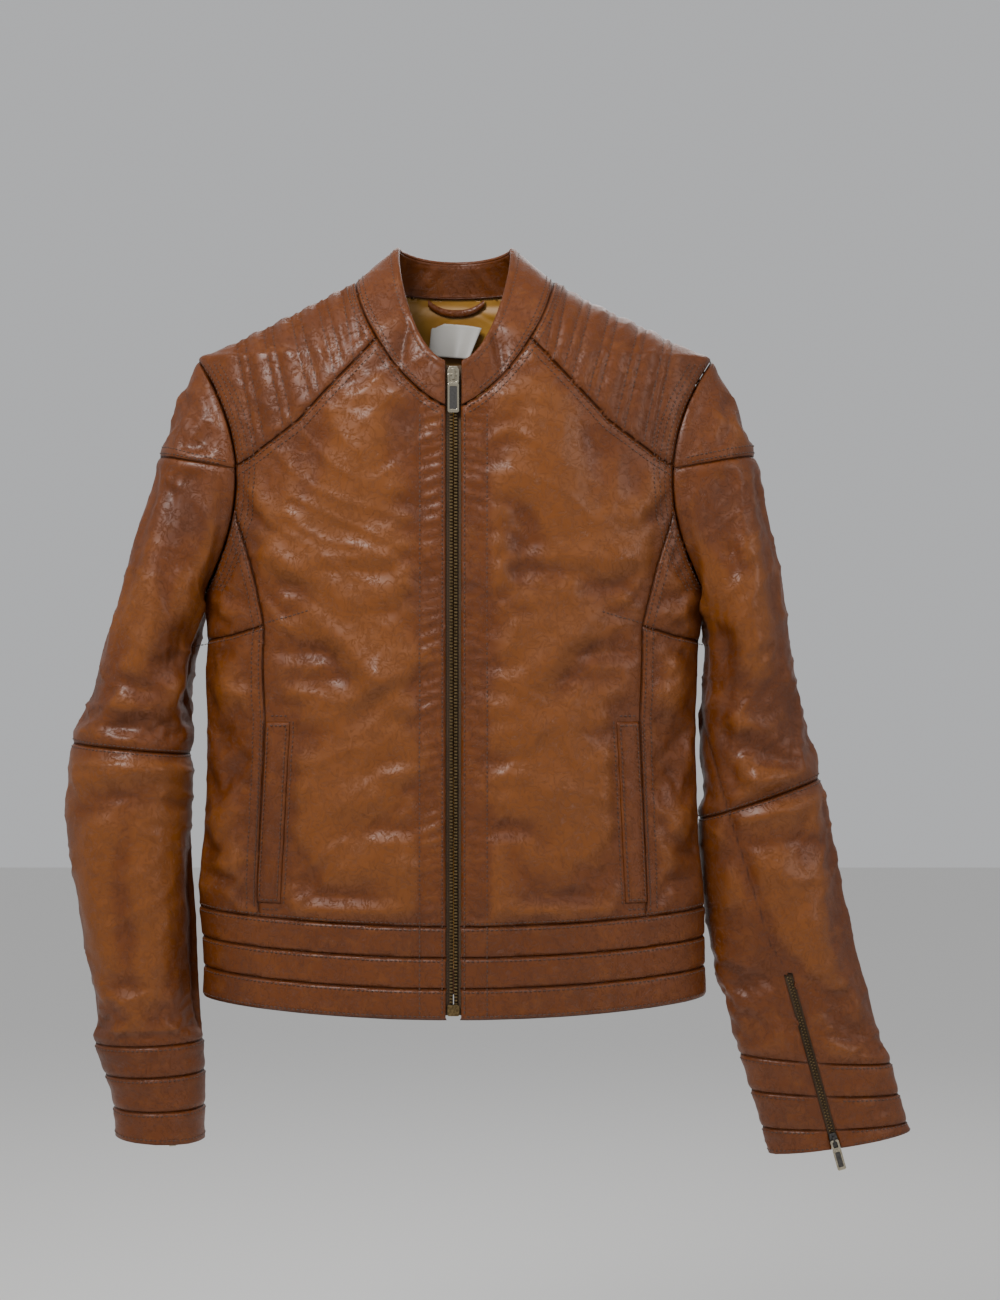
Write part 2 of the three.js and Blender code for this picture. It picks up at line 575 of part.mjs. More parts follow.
/** The straight line across a sleeve at a station, run past both edges, as [x, z] points. */
function across(stations, at, past = 25) {
  const [outX, outDrop, inX, inDrop] = stations[at];
  const outer = new THREE.Vector2(SHOULDER_HALF + outX, -SHOULDER_DROP - outDrop);
  const inner = new THREE.Vector2(SHOULDER_HALF + inX, -SHOULDER_DROP - inDrop);
  const run = outer.clone().sub(inner).normalize().multiplyScalar(past);
  return [outer.add(run).toArray(), inner.sub(run).toArray()];
}

const seamRegion = bodySide(GAP).intersect(block([-FAR, -FAR, -UNDERARM_DROP - 60], [FAR, FAR, FAR]));
const CAP_SEAM = [[SHOULDER_HALF + 60, -137], [SHOULDER_HALF + 28, -141], [SHOULDER_HALF - 50, -155]];
const ZIP_TURN = 0.265;

for (const [word, { stations, elbow, cuff, zipFace, side }] of Object.entries(SLEEVES)) {
  const surface = sleeveSurface(stations);
  const last = stations.length - 1;
  const rings = [0, 0.4, 0.8, 1.3, ...spread(2, last, last - 2)];
  const sleeveTurns = spread(0, 1, 16).slice(0, -1);
  const mirrored = side < 0;
  const start = [-0.3, ...rings.slice(1)];

  // The cuff zip lies along one straight line on the sleeve's face.
  const zipTurn = zipFace < 0 ? ZIP_TURN : 1 - ZIP_TURN;
  const zipEnd = surface(zipTurn, last);
  let zipTopAt = last;
  while (surface(zipTurn, zipTopAt).distanceTo(zipEnd) < CUFF_ZIP_LENGTH) zipTopAt -= 0.01;
  const zipStart = surface(zipTurn, zipTopAt);
  const zipLine = [zipStart, zipEnd.clone().lerp(zipStart, -0.1)].map(({ x, z }) => [x, z]);
  const slitFrom = zipFace < 0 ? -FAR : stations[last][5];
  const slitTo = zipFace < 0 ? stations[last][5] : FAR;
  const slit = blade(zipLine, slitFrom, slitTo, CUFF_SLIT_HALF * 2);
  const wideSlit = blade(zipLine, slitFrom, slitTo, CUFF_SLIT_HALF * 2 + 3);

  const leather = sheet(surface, sleeveTurns, start, 0, -LEATHER, true).subtract(seamRegion)
    .subtract(blade(CAP_SEAM, -FAR, FAR)).subtract(blade(across(stations, elbow), -FAR, FAR)).subtract(slit);
  const cuffSeams = spread(cuff, cuff + CUFF_SEAMS - 1, CUFF_SEAMS - 1);
  const cut = cuffSeams.reduce((solid, at) => solid.subtract(blade(across(stations, at, 12), -FAR, FAR)), leather);
  const points = {
    [`${word}_sleeve_cap`]: surface(0, 1).toArray(),
    [`${word}_upper_sleeve`]: surface(0.1, elbow - 2).toArray(),
    [`${word}_forearm`]: surface(0.1, elbow + 2).toArray(),
  };
  cuffSeams.forEach((at, index) => {
    points[`${word}_cuff_band_${index + 1}`] = surface(0.02, at + 0.5).toArray();
  });
  for (const [name, solid] of Object.entries(pieces(cut, points))) add(name, 'leather', solid, mirrored);

  const liningRings = [-0.3, 0.8, 1.6, ...spread(2.5, last - 0.5, 7)];
  const lining = sheet(surface, spread(0, 1, 16).slice(0, -1), liningRings, -LINING_DEPTH, -LINING_DEPTH - LINING, true)
    .subtract(seamRegion).subtract(blade(across(stations, elbow), -FAR, FAR)).subtract(wideSlit);
  const liningPieces = pieces(lining, {
    [`${word}_upper_sleeve_lining`]: surface(0.1, elbow - 2).toArray(),
    [`${word}_forearm_lining`]: surface(0.1, elbow + 2).toArray(),
  });
  for (const [name, solid] of Object.entries(liningPieces)) add(name, 'satin', solid, mirrored);

  // Zip frame: z up the chain, y into the sleeve.
  const alongZip = zipStart.clone().sub(zipEnd).normalize();
  const inward = new THREE.Vector3(0, -zipFace, 0);
  inward.addScaledVector(alongZip, -inward.dot(alongZip)).normalize();
  const crossways = inward.clone().cross(alongZip);
  const depth = 0.9;
  const origin = zipEnd.clone().addScaledVector(inward, depth);
  const place = new THREE.Matrix4().makeBasis(crossways, inward, alongZip).setPosition(origin);
  const placed = (solid) => solid.transform(place.toArray());
  const tapeHalf = CUFF_SLIT_HALF - 0.4;
  const zipLength = zipStart.distanceTo(zipEnd) - 2;
  const tape = block([-tapeHalf, 1, 1], [tapeHalf, 1.7, zipLength]);
  const teeth = block([-1.5, -0.8, 1], [1.5, 0.7, zipLength]);
  add(`${word}_cuff_zip_tape`, 'tape', placed(tape), mirrored);
  add(`${word}_cuff_zip_teeth`, 'brass', placed(teeth), mirrored);
  const slider = cuffSlider(tapeHalf);
  add(`${word}_cuff_zip_slider`, 'nickel', placed(slider.solid.translate([0, 0, 7])), mirrored);
  add(`${word}_cuff_zip_pull`, 'nickel', placed(zipPull(7.5, 24).translate([0, slider.pinY, 7])), mirrored);
}

/** The small slider of a cuff zip: a plate with side lips over the teeth, and the pull's arch. */
function cuffSlider(half) {
  const front = -0.8 - GAP;
  const face = front - 1.2;
  const solid = [
    block([-half, face, -5], [half, front, 5]),
    block([-half, face, -5], [-half + 0.9, 0.6, 5]),
    block([half - 0.9, face, -5], [half, 0.6, 5]),
    block([-1.6, face - 2, 2.4], [1.6, face + 0.2, 3.6]),
    block([-1.6, face - 2, -3.6], [1.6, face + 0.2, -2.4]),
    block([-1.6, face - 3, -3.6], [1.6, face - 2, 3.6]),
  ].reduce((sum, piece) => sum.add(piece));
  return { solid, pinY: face - 1 };
}

// ---- The jacket --------------------------------------------------------------------------------
const group = new THREE.Group();
for (const [name, material, solid] of parts) {
  const mesh = new THREE.Mesh(toGeometry(solid), new THREE.MeshStandardMaterial(COLOURS[material]));
  mesh.name = name;
  group.add(mesh);
}
export default group;
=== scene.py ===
"""Leather riding jacket: the soft pieces, stitching, zips and materials over the CAD frame."""
import json
import math
from functools import partial

import bmesh
import bpy
import numpy as np
from mathutils import Matrix, Vector


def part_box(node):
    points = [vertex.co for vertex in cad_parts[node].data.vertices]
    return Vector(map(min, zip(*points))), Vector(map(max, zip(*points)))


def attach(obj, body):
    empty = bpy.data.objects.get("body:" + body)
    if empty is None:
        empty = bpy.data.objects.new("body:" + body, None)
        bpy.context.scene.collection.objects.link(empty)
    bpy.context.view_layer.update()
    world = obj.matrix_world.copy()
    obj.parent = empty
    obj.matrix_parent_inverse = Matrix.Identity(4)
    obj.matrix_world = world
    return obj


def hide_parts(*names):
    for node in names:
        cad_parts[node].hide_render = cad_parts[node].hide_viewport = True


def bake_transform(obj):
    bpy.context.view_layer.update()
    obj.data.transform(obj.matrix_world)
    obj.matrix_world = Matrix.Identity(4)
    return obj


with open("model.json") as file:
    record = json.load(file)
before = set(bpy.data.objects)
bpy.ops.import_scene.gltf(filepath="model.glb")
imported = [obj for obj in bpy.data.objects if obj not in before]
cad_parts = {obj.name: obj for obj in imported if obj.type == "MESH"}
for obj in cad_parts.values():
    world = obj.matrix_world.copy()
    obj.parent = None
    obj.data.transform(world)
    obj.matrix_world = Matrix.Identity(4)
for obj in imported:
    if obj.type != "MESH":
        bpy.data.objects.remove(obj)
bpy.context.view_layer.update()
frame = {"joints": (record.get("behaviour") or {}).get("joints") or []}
MM = 0.001

# ---- Sizes, in millimetres, as the CAD frame has them ---------------------------------------------
HEM_BAND = 24.0
HEM_SIDE_RISE = 10.0
NECK_HALF = 79.0
NECK_DROP_FRONT = 108.0
NECK_DROP_BACK = 6.0
SHOULDER_DROP = 63.0
UNDERARM_DROP = 249.0
SHOULDER_HALF = 206.0
CHEST_FRONT = 72.0
CHEST_BACK = 58.0
WAIST_IN = 18.0
ARMHOLE_IN = 31.0
OPENING_HALF = 6.0
COLLAR_HALF = 47.0
COLLAR_RISE = 28.0
COLLAR_DROP_FRONT = 74.0
COLLAR_BACK = 42.0
LEATHER = 1.3
LINING_DEPTH = 4.3  # outer face of the leather to outer face of the lining
BODY_LENGTH = -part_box("hem_band_3")[0].z / MM
HEM_TOP = BODY_LENGTH - 3 * HEM_BAND
PLACKET = 26.0
QUILT_PAIR = 6.6
SIM_SHARE = 0.72
SIDE_LEAN = (10.0, 4.0)  # how far the right and the left side hang out at the waist
YOKE_START = 50  # where the yokes begin, from the centre
WELT_WIDTH, WELT_LENGTH = 17.0, 142.0
WELT_TOP = -351.0
WELT_BOTTOM = WELT_TOP - WELT_LENGTH
WELT_REACH = (141, 134.5)  # centre to the welt's middle, at its bottom and its top
SLIT_HALF = 3.5
SLIT_LENGTH = 146.0
SLIT_DEPTH = 14  # how far in the cuff's slit reaches from its face
STITCH_LIFT = 0.12
CELL = 2.4
SNAP_REACH = 0.62 * CELL
BODY_CENTRE = (0, 0, -420)
COLLAR_CENTRE = (0, 0, -30)
NO_SEAM = 99.0  # stands for "far from any seam" in the leather's fields


# ---- Curves and noise --------------------------------------------------------------------------------
def curve(pairs):
    """Monotone cubic curve through (at, value) pairs, for arrays."""
    at = np.array([p[0] for p in pairs], float)
    value = np.array([p[1] for p in pairs], float)
    step = np.diff(at)
    slope = np.diff(value) / step
    tangent = np.empty_like(value)
    tangent[0], tangent[-1] = slope[0], slope[-1]
    before, after = slope[:-1], slope[1:]
    total = np.where(np.abs(before + after) < 1e-12, 1, before + after)
    tangent[1:-1] = np.where(before * after <= 0, 0, 2 * before * after / total)

    def at_points(x):
        x = np.asarray(x, float)
        i = np.clip(np.searchsorted(at, x, side="right") - 1, 0, len(at) - 2)
        t = (x - at[i]) / step[i]
        inside = np.clip(t, 0, 1)
        bend = inside * inside * (3 - 2 * inside)
        value_in = (value[i] * (1 - bend) + value[i + 1] * bend
                    + step[i] * (tangent[i] * inside * (1 - inside) ** 2
                                 - tangent[i + 1] * inside ** 2 * (1 - inside)))
        past = np.where(t < 0, tangent[i], tangent[i + 1]) * step[i]
        return value_in + (t - inside) * past

    return at_points


def noise(points, scale, seed=0):
    """Smooth value noise from -1 to 1 at points (n, 3), with features about `scale` mm wide."""
    scale = np.broadcast_to(np.asarray(scale, float), (3,))
    q = points / scale + 1000.0 + seed * 17.17
    cell = np.floor(q).astype(np.int64)
    part = q - cell
    part = part * part * (3 - 2 * part)
    total = np.zeros(len(points))
    for corner in range(8):
        offset = np.array([corner & 1, corner >> 1 & 1, corner >> 2 & 1])
        key = (cell + offset) @ np.array([73856093, 19349663, 83492791]) + seed * 7919
        key = (key ^ (key >> 13)) * 1274126177
        random = ((key ^ (key >> 16)) & 0xFFFF) / 32767.5 - 1
        weight = np.prod(np.where(offset, part, 1 - part), axis=1)
        total += random * weight
    return total


def bump(distance, width):
    return np.exp(-(distance / width) ** 2)


def smooth(low, high, x):
    t = np.clip((x - low) / (high - low), 0, 1)
    return t * t * (3 - 2 * t)


def unit(vectors):
    return vectors / np.maximum(np.linalg.norm(vectors, axis=-1, keepdims=True), 1e-9)


def flat_grid(rows, columns):
    """Grids of v down the rows and u across the columns, each from 0 to 1."""
    return np.meshgrid(np.linspace(0, 1, rows), np.linspace(0, 1, columns), indexing="ij")


def add_object(name, data):
    item = bpy.data.objects.new(name, data)
    bpy.context.scene.collection.objects.link(item)
    return item


# ---- The body's surface ----------------------------------------------------------------------------
SLOPE = (SHOULDER_HALF - NECK_HALF) / SHOULDER_DROP
half_width = curve([
    (-10, NECK_HALF - 10 * SLOPE), (0, NECK_HALF),
    (SHOULDER_DROP / 2, (NECK_HALF + SHOULDER_HALF) / 2),
    (SHOULDER_DROP - 5, SHOULDER_HALF - 5 * SLOPE), (SHOULDER_DROP, SHOULDER_HALF),
    (120, SHOULDER_HALF), (200, SHOULDER_HALF - 3), (UNDERARM_DROP, SHOULDER_HALF - 6),
    (300, SHOULDER_HALF - 15), (370, SHOULDER_HALF - WAIST_IN), (440, SHOULDER_HALF - WAIST_IN + 2),
    (500, SHOULDER_HALF - 10), (BODY_LENGTH, SHOULDER_HALF - 5),
])
front_depth = curve([
    (-10, CHEST_FRONT - 24), (0, CHEST_FRONT - 22), (SHOULDER_DROP, CHEST_FRONT - 6),
    (NECK_DROP_FRONT - 4, CHEST_FRONT), (BODY_LENGTH, CHEST_FRONT),
])
back_depth = curve([
    (-10, CHEST_BACK - 13), (0, CHEST_BACK - 12), (SHOULDER_DROP, CHEST_BACK - 3),
    (150, CHEST_BACK + 2), (300, CHEST_BACK - 2), (400, CHEST_BACK - 8), (BODY_LENGTH, CHEST_BACK),
])


def face_y(x, z, side):
    """Y of the body's front (side -1) or back (side 1) face at x, z."""
    depth = np.where(np.asarray(side) < 0, front_depth(-z), back_depth(-z))
    return side * depth * np.sqrt(np.clip(1 - (x / half_width(-z)) ** 2, 0, 1))


def body_surface(turn, drop):
    angle = 2 * np.pi * turn
    sine = np.sin(angle)
    depth = np.where(sine > 0, front_depth(drop), back_depth(drop))
    return np.stack([half_width(drop) * np.cos(angle), -depth * sine, -drop + 0 * angle], -1)


def neck_line(x, front, grow=0.0):
    """Height of the neck seam at x."""
    half = NECK_HALF + grow
    along = np.clip(1 - (np.abs(x) / half) ** 1.5, 0, 1)
    return np.where(front, -(NECK_DROP_FRONT + grow) * along ** 0.68,
                    -(NECK_DROP_BACK + grow) * np.clip(1 - (x / half) ** 2, 0, 1))


def hem_line(x, drop):
    return -drop + HEM_SIDE_RISE * (x / SHOULDER_HALF) ** 2


def armhole(angle):
    """The armhole seam seen from the front, in positive x: 0 at the shoulder, pi at the underarm."""
    middle = (SHOULDER_DROP + UNDERARM_DROP) / 2
    radius = (UNDERARM_DROP - SHOULDER_DROP) / 2
    x = SHOULDER_HALF - 3 + 3 * np.cos(angle) - ARMHOLE_IN * np.sin(angle) ** 2
    return x, -middle + radius * np.cos(angle)


WAIST_SEAM = (147, -276)
FRONT_YOKE = [(50, -41), (64, -56), (122, -117), (160, -144), (190, -160)]
FRONT_PRINCESS = [(181, -164), (173, -188), (160, -227), WAIST_SEAM, (144, -349), (150, -HEM_TOP - 15)]
FRONT_WAIST = [WAIST_SEAM, (172, -284), (SHOULDER_HALF + 10, -292)]
BACK_YOKE = [(50, 6), (60, -5), (175, -129), (192, -147)]
BACK_PRINCESS = [(185, -160), (170, -190), (138, -255), (112, -320), (105, -HEM_TOP - 15)]


def height_on(line, x):
    xs, zs = zip(*line)
    return np.interp(x, xs, zs)


def reach_on(line, z):
    xs, zs = zip(*line[::-1])
    return np.interp(z, zs, xs)


def dense(line, step=3.0):
    """A polyline of [x, z] points with a point at least every `step`."""
    out = [np.array(line[0], float)]
    for a, b in zip(line, line[1:]):
        a, b = np.array(a, float), np.array(b, float)
        count = max(1, int(np.hypot(*(b - a)) / step))
        out += [a + (b - a) * (i + 1) / count for i in range(count)]
    return np.array(out)


def seam_distance(points, path):
    """Distance from points (n, d) to a polyline (m, d), and how far along it the nearest place is."""
    best = np.full(len(points), 1e9)
    place = np.zeros(len(points))
    along = 0.0
    for a, b in zip(path[:-1], path[1:]):
        d = b - a
        length = math.sqrt(float(d @ d)) or 1e-9
        t = np.clip((points - a) @ d / length ** 2, 0, 1)
        distance = np.linalg.norm(points - a - t[:, None] * d, axis=1)
        closer = distance < best
        best = np.where(closer, distance, best)
        place = np.where(closer, along + t * length, place)
        along += length
    return best, place


# ---- Seams of the body -------------------------------------------------------------------------------
def on_body(line, side):
    """A seam's [x, z] points laid on the front (side -1) or back (side 1) of the body."""
    line = np.asarray(line, float)
    return np.stack([line[:, 0], face_y(line[:, 0], line[:, 1], side), line[:, 1]], -1)


def inside_body(line, front):
    """The points of a seam that lie below the neck seam and inside the armholes."""
    x, z = line[:, 0], line[:, 1]
    angles = np.linspace(0, np.pi, 80)
    hole_x, hole_z = armhole(angles)
    limit = np.interp(z, hole_z[::-1], hole_x[::-1], left=999, right=999)
    limit = np.where((z < -UNDERARM_DROP) | (z > -SHOULDER_DROP), 999, limit)
    keep = (z < neck_line(x, front)) & (np.abs(x) < limit) & (z > -HEM_TOP + 8)
    return line[keep]


def mirrored(line):
    return np.asarray(line, float) * [-1, 1]


def body_seams():
    """Each seam as (name, path in 3-D) in the order in which they are sewn."""
    seams = []
    for name, line, side in (
        ("front_yoke", FRONT_YOKE, -1), ("front_princess", FRONT_PRINCESS, -1),
        ("front_waist", FRONT_WAIST, -1), ("back_yoke", BACK_YOKE, 1),
        ("back_princess", BACK_PRINCESS, 1),
    ):
        for copy in (np.asarray(line, float), mirrored(line)):
            path = inside_body(dense(copy, 5.0), side < 0)
            seams.append((name, on_body(path, side)))
    angles = np.linspace(0, np.pi, 34)
    x, z = armhole(angles)
    for sign in (-1, 1):
        for side in (-1, 1):
            seams.append(("armhole", on_body(np.stack([sign * x, z], -1), side)))
        drops = np.linspace(UNDERARM_DROP, HEM_TOP - 10, 12)
        edge = np.stack([sign * half_width(drops), 0 * drops, -drops], -1)
        seams.append(("side", edge))
    turn = np.linspace(-np.pi / 2, np.pi / 2, 50)
    for front in (True, False):
        x = NECK_HALF * np.sin(turn)
        seams.append(("neck", on_body(np.stack([x, neck_line(x, front)], -1), -1 if front else 1)))
    return seams


BODY_SEAMS = body_seams()

# Darts from the front seams towards the chest, and the fold lines of the leather as it hangs:
# each is ([x, z] points, half width, height), a ridge when the height is positive.
DART = [(-147, -276), (-128, -271), (-111, -266)]
FRONT_FOLDS = [
    ([(-111, -266), (-84, -290), (-52, -322), (-30, -352)], 11, 3.4),
    ([(-118, -282), (-96, -300), (-72, -330)], 9, -2.6),
    ([(-8, -294), (-44, -310), (-84, -338)], 10, 2.6),
    ([(-12, -312), (-50, -330), (-84, -356)], 8, -2.0),
    ([(-10, -364), (-56, -408), (-96, -420)], 13, 3.0),
    ([(-20, -392), (-60, -430), (-100, -440)], 11, -2.2),
    ([(-30, -190), (-70, -225), (-100, -262)], 16, 2.2),
    ([(-150, -215), (-118, -232), (-80, -236)], 13, 2.6),
    ([(-146, -240), (-112, -254), (-90, -256)], 9, -2.2),
    ([(50, -160), (56, -200), (50, -258)], 12, -3.0),
    ([(34, -150), (36, -210), (30, -262)], 10, 2.0),
    ([(40, -138), (50, -160), (58, -186)], 8, 2.4),
    ([(111, -266), (80, -296), (46, -330)], 12, 2.6),
    ([(120, -284), (92, -312), (64, -352)], 9, -2.2),
    ([(12, -330), (50, -352), (96, -352)], 14, 2.4),
    ([(10, -400), (54, -396), (100, -420)], 15, 2.4),
    ([(14, -430), (60, -438), (104, -470)], 12, -2.0),
    ([(150, -212), (120, -226), (84, -228)], 12, 2.6),
    ([(146, -238), (114, -252), (92, -250)], 9, -2.0),
    ([(-30, -456), (-64, -470), (-110, -476)], 13, 2.2),
    ([(60, -110), (78, -150), (84, -206)], 18, 2.2),
    ([(-60, -110), (-80, -150), (-88, -200)], 18, 2.2),
    ([(-176, -300), (-164, -330), (-158, -380)], 10, 2.2),
    ([(176, -300), (166, -330), (160, -390)], 10, 2.2),
    ([(-186, -420), (-172, -450), (-160, -490)], 10, 2.0),
    ([(184, -410), (172, -440), (160, -480)], 10, 2.0),
]
BACK_FOLDS = [
    ([(-150, -210), (-110, -240), (-60, -262)], 16, 3.2),
    ([(150, -210), (108, -244), (56, -270)], 16, 3.2),
    ([(-140, -240), (-96, -272), (-50, -290)], 12, -2.4),
    ([(140, -240), (96, -276), (46, -300)], 12, -2.4),
    ([(-96, -330), (-40, -344), (30, -338), (96, -356)], 18, 2.8),
    ([(-90, -372), (-20, -388), (60, -376), (100, -392)], 15, -2.4),
    ([(-98, -410), (-30, -424), (50, -416), (104, -436)], 17, 3.0),
    ([(-70, -60), (-40, -120), (-30, -190)], 22, 2.4),
    ([(70, -60), (44, -120), (34, -190)], 22, 2.4),
]


def folds(points, front, table, front_value=True):
    """Height of the fold lines at points, each one fading out at its ends."""
    height = np.zeros(len(points))
    chosen = front if front_value else ~front
    flat = points[chosen][:, [0, 2]]
    total = np.zeros(len(flat))
    for line, width, lift in table:
        path = dense(line, 14.0)
        distance, place = seam_distance(flat, path)
        length = float(np.linalg.norm(np.diff(path, axis=0), axis=1).sum())
        fade = np.sin(np.pi * np.clip(place / length, 0, 1)) ** 0.7
        total += lift * fade * bump(distance, width)
    height[chosen] = total
    return height


def quilt_lines():
    """The yoke's sewn channels in positive x: shoulder ridge to the yoke seam, front and back."""
    lines = []
    for middle, lean in ((87, 13), (107, 19), (128, 21), (150, 21), (171, 20)):
        for top in (middle - QUILT_PAIR / 2, middle + QUILT_PAIR / 2):
            ridge = (top, -(top - NECK_HALF) / SLOPE)
            for side, seam in ((-1, FRONT_YOKE), (1, BACK_YOKE)):
                lines.append((side, [ridge, (top - lean, float(height_on(seam, top - lean)))]))
    return lines


QUILT = quilt_lines()


def seam_field(points):
    """Distance to the nearest seam of the body."""
    best = np.full(len(points), 1e9)
    for _, path in BODY_SEAMS:
        distance, _ = seam_distance(points, path)
        best = np.minimum(best, distance)
    return best


def quilt_field(points, front):
    """Distance to the nearest channel of the yokes, and 1 where the point is on a yoke."""
    x = np.abs(points[:, 0])
    z = points[:, 2]
    line = np.where(front, height_on(FRONT_YOKE, x), height_on(BACK_YOKE, x))
    on_yoke = smooth(-1.0, 5.0, z - line) * (x > YOKE_START)
    flat = np.stack([x, z], -1)
    best = np.full(len(points), 1e9)
    for side, path in QUILT:
        distance, _ = seam_distance(flat, np.asarray(path, float))
        best = np.where(front == (side < 0), np.minimum(best, distance), best)
    return best, on_yoke


def band_field(points):
    """Signed distance below the top hem seam and distance to the nearest hem seam."""
    below = hem_line(points[:, 0], HEM_TOP) - points[:, 2]
    nearest = np.abs(below - HEM_BAND * np.clip(np.round(below / HEM_BAND), 0, 3))
    return below, nearest


def turned(points, angle):
    """Points turned in the plane of the front, so that noise can run along a slant."""
    c, k = math.cos(angle), math.sin(angle)
    x, y, z = points.T
    return np.stack([c * x - k * z, y, k * x + c * z], -1)


def leather_grain(points):
    """Soft undulation and slanting creases that all the hanging leather has, in millimetres."""
    swell = 1.6 * noise(points, (95, 120, 120), 1) + 0.8 * noise(points, (42, 60, 55), 2)
    warped = points + 10 * noise(points, 60, 5)[:, None]
    where = noise(points, (80, 90, 90), 9)
    total = swell
    for angle, seed, side in ((0.62, 3, 1), (-0.70, 13, -1)):
        share = smooth(-0.35, 0.35, side * where)
        long = 1 - np.abs(noise(turned(warped, angle), (52, 50, 17), seed))
        short = 1 - np.abs(noise(turned(warped, angle), (22, 24, 8.5), seed + 1))
        total = total + share * (1.45 * long ** 6 + 0.62 * short ** 6)
    return total


def welt_centre(z):
    return np.interp(z, [WELT_BOTTOM, WELT_TOP], WELT_REACH)


def body_relief(points, front):
    """Height of the leather over the body's plain surface, and the fields its material uses."""
    seam = seam_field(points)
    quilt, on_yoke = quilt_field(points, front)
    below, hem = band_field(points)
    on_band = smooth(-3, 1, below)
    x, z = points[:, 0], points[:, 2]
    open_x = np.where(front, np.abs(x), 999)
    calm = (1 - 0.75 * on_yoke) * (1 - 0.8 * on_band) * smooth(1, 16, seam)
    calm = calm * smooth(4, 30, open_x)
    height = (leather_grain(points) + 1.35 * folds(points, front, FRONT_FOLDS)
              + 1.3 * folds(points, front, BACK_FOLDS, False)) * calm
    height += SIM_SHARE * body_drape(points, front) * calm
    height += 0.5 * leather_grain(points) * (1 - calm) * (1 - on_band)
    height += on_yoke * (1.5 * smooth(0, 3.2, quilt) + 0.9 * smooth(2, 10, quilt) - 1.5) * smooth(0, 8, seam)
    height += -0.8 * bump(seam, 1.4) + 0.8 * bump(seam - 6, 4.5)
    height += on_band * (0.8 - 1.3 * bump(hem, 1.4) + 0.5 * noise(points, (22, 16, 60), 6))
    # The leather beside the zip puckers between the opening and the placket's stitching.
    wave = np.sin(z / 1.45 + 3.4 * noise(points, (200, 200, 22), 7) + 0.2 * open_x)
    strength = smooth(0, 9, open_x - OPENING_HALF) * (1 - smooth(17, 31, open_x))
    height += front * strength * (1 - on_band) * ((0.62 + 0.4 * noise(points, (90, 90, 26), 10)) * wave
                                                    + 0.7 * noise(points, (14, 14, 9), 8))
    height += front * (1 - on_band) * (-0.9 * bump(open_x - PLACKET, 1.7) + 0.5 * bump(open_x - 9, 4))
    near_welt = smooth(20, 8, np.abs(np.abs(x) - welt_centre(z)))
    near_welt = near_welt * smooth(WELT_BOTTOM - 17, WELT_BOTTOM - 5, z)
    near_welt = near_welt * (1 - smooth(WELT_TOP + 5, WELT_TOP + 17, z))
    height = np.where(front, height * (1 - 0.8 * near_welt), height)
    # The seam, quilt and height fields drive the material's painted shade in seams, channels and creases and
    # its painted highlight on ridges.
    attributes = {
        "seam": np.minimum(seam, np.where(below > -20, hem, NO_SEAM)),
        "quilt": np.where(on_yoke > 0.4, quilt, NO_SEAM),
        "height": height,
    }
    return height, attributes


def settle(points):
    """Lets the body's sides hang out against the sleeves, the right one further, as on the hanger."""
    z = points[:, 2]
    share = smooth(-235, -330, z) * (1 - 0.85 * smooth(-470, -560, z))
    out = points.copy()
    out[:, 0] -= SIDE_LEAN[0] * share * smooth(105, 190, -points[:, 0])
    out[:, 0] += SIDE_LEAN[1] * share * smooth(105, 190, points[:, 0])
    return out


def body_point(x, z, side, lift=0.0):
    """Points on the finished leather of the body at x, z, with their outward normals."""
    x, z = np.asarray(x, float), np.asarray(z, float)
    side = np.broadcast_to(side, x.shape)
    base = np.stack([x, face_y(x, z, side), z], -1)
    step = 0.5
    du = np.stack([x + step, face_y(x + step, z, side), z], -1) - base
    dv = np.stack([x, face_y(x, z - step, side), z - step], -1) - base
    normal = unit(np.cross(du, dv) * side[:, None])
    height, _ = body_relief(base, side < 0)
    return settle(base + normal * (height + lift)[:, None]), normal


# ---- Mesh helpers ------------------------------------------------------------------------------------
def grid_normals(grid, closed):
    """Outward normals of a grid (rows, columns, 3) whose columns turn over the front and rows go down."""
    across = np.roll(grid, -1, 1) - np.roll(grid, 1, 1) if closed else np.gradient(grid, axis=1)
    return unit(np.cross(across, np.gradient(grid, axis=0)))


def grid_faces(rows, columns, closed, flip=False):
    wide = columns if closed else columns - 1
    r, c = np.meshgrid(np.arange(rows - 1), np.arange(wide), indexing="ij")
    after = (c + 1) % columns
    quads = np.stack([r * columns + c, r * columns + after, (r + 1) * columns + after,
                      (r + 1) * columns + c], -1).reshape(-1, 4)
    return quads[:, ::-1] if flip else quads


def make_mesh(name, points, faces, material, attributes=None):
    """A mesh object from points in millimetres; unused points are dropped, attributes kept."""
    used, inverse = np.unique(faces, return_inverse=True)
    faces = inverse.reshape(faces.shape)
    mesh = bpy.data.meshes.new(name)
    mesh.from_pydata((points[used] * MM).tolist(), [], faces.tolist())
    rest = mesh.attributes.new("rest", "FLOAT_VECTOR", "POINT")
    rest.data.foreach_set("vector", (points[used] * MM).astype(np.float32).ravel())
    for key, values in (attributes or {}).items():
        layer = mesh.attributes.new(key, "FLOAT", "POINT")
        layer.data.foreach_set("value", values[used].astype(np.float32))
    mesh.polygons.foreach_set("use_smooth", [True] * len(mesh.polygons))
    mesh.materials.append(material)
    mesh.update()
    return add_object(name, mesh)


def leather_fields(seam, height):
    """The fields that the leather's material reads, for a piece with no quilting: the seam distance drives
    its painted seam shade and the height its painted highlight and crease shade.
    """
    return {"seam": seam.reshape(-1), "quilt": np.full(seam.size, NO_SEAM), "height": height.reshape(-1)}


def thicken(item, thickness):
    solid = item.modifiers.new("thickness", "SOLIDIFY")
    solid.thickness = thickness * MM
    solid.offset = -1
    solid.use_quality_normals = True
    return item


def finish_piece(item, body, slot, *nodes):
    if nodes:
        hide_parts(*nodes)
    if isinstance(body, str):
        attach(item, body)
    else:
        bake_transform(item)
    return item


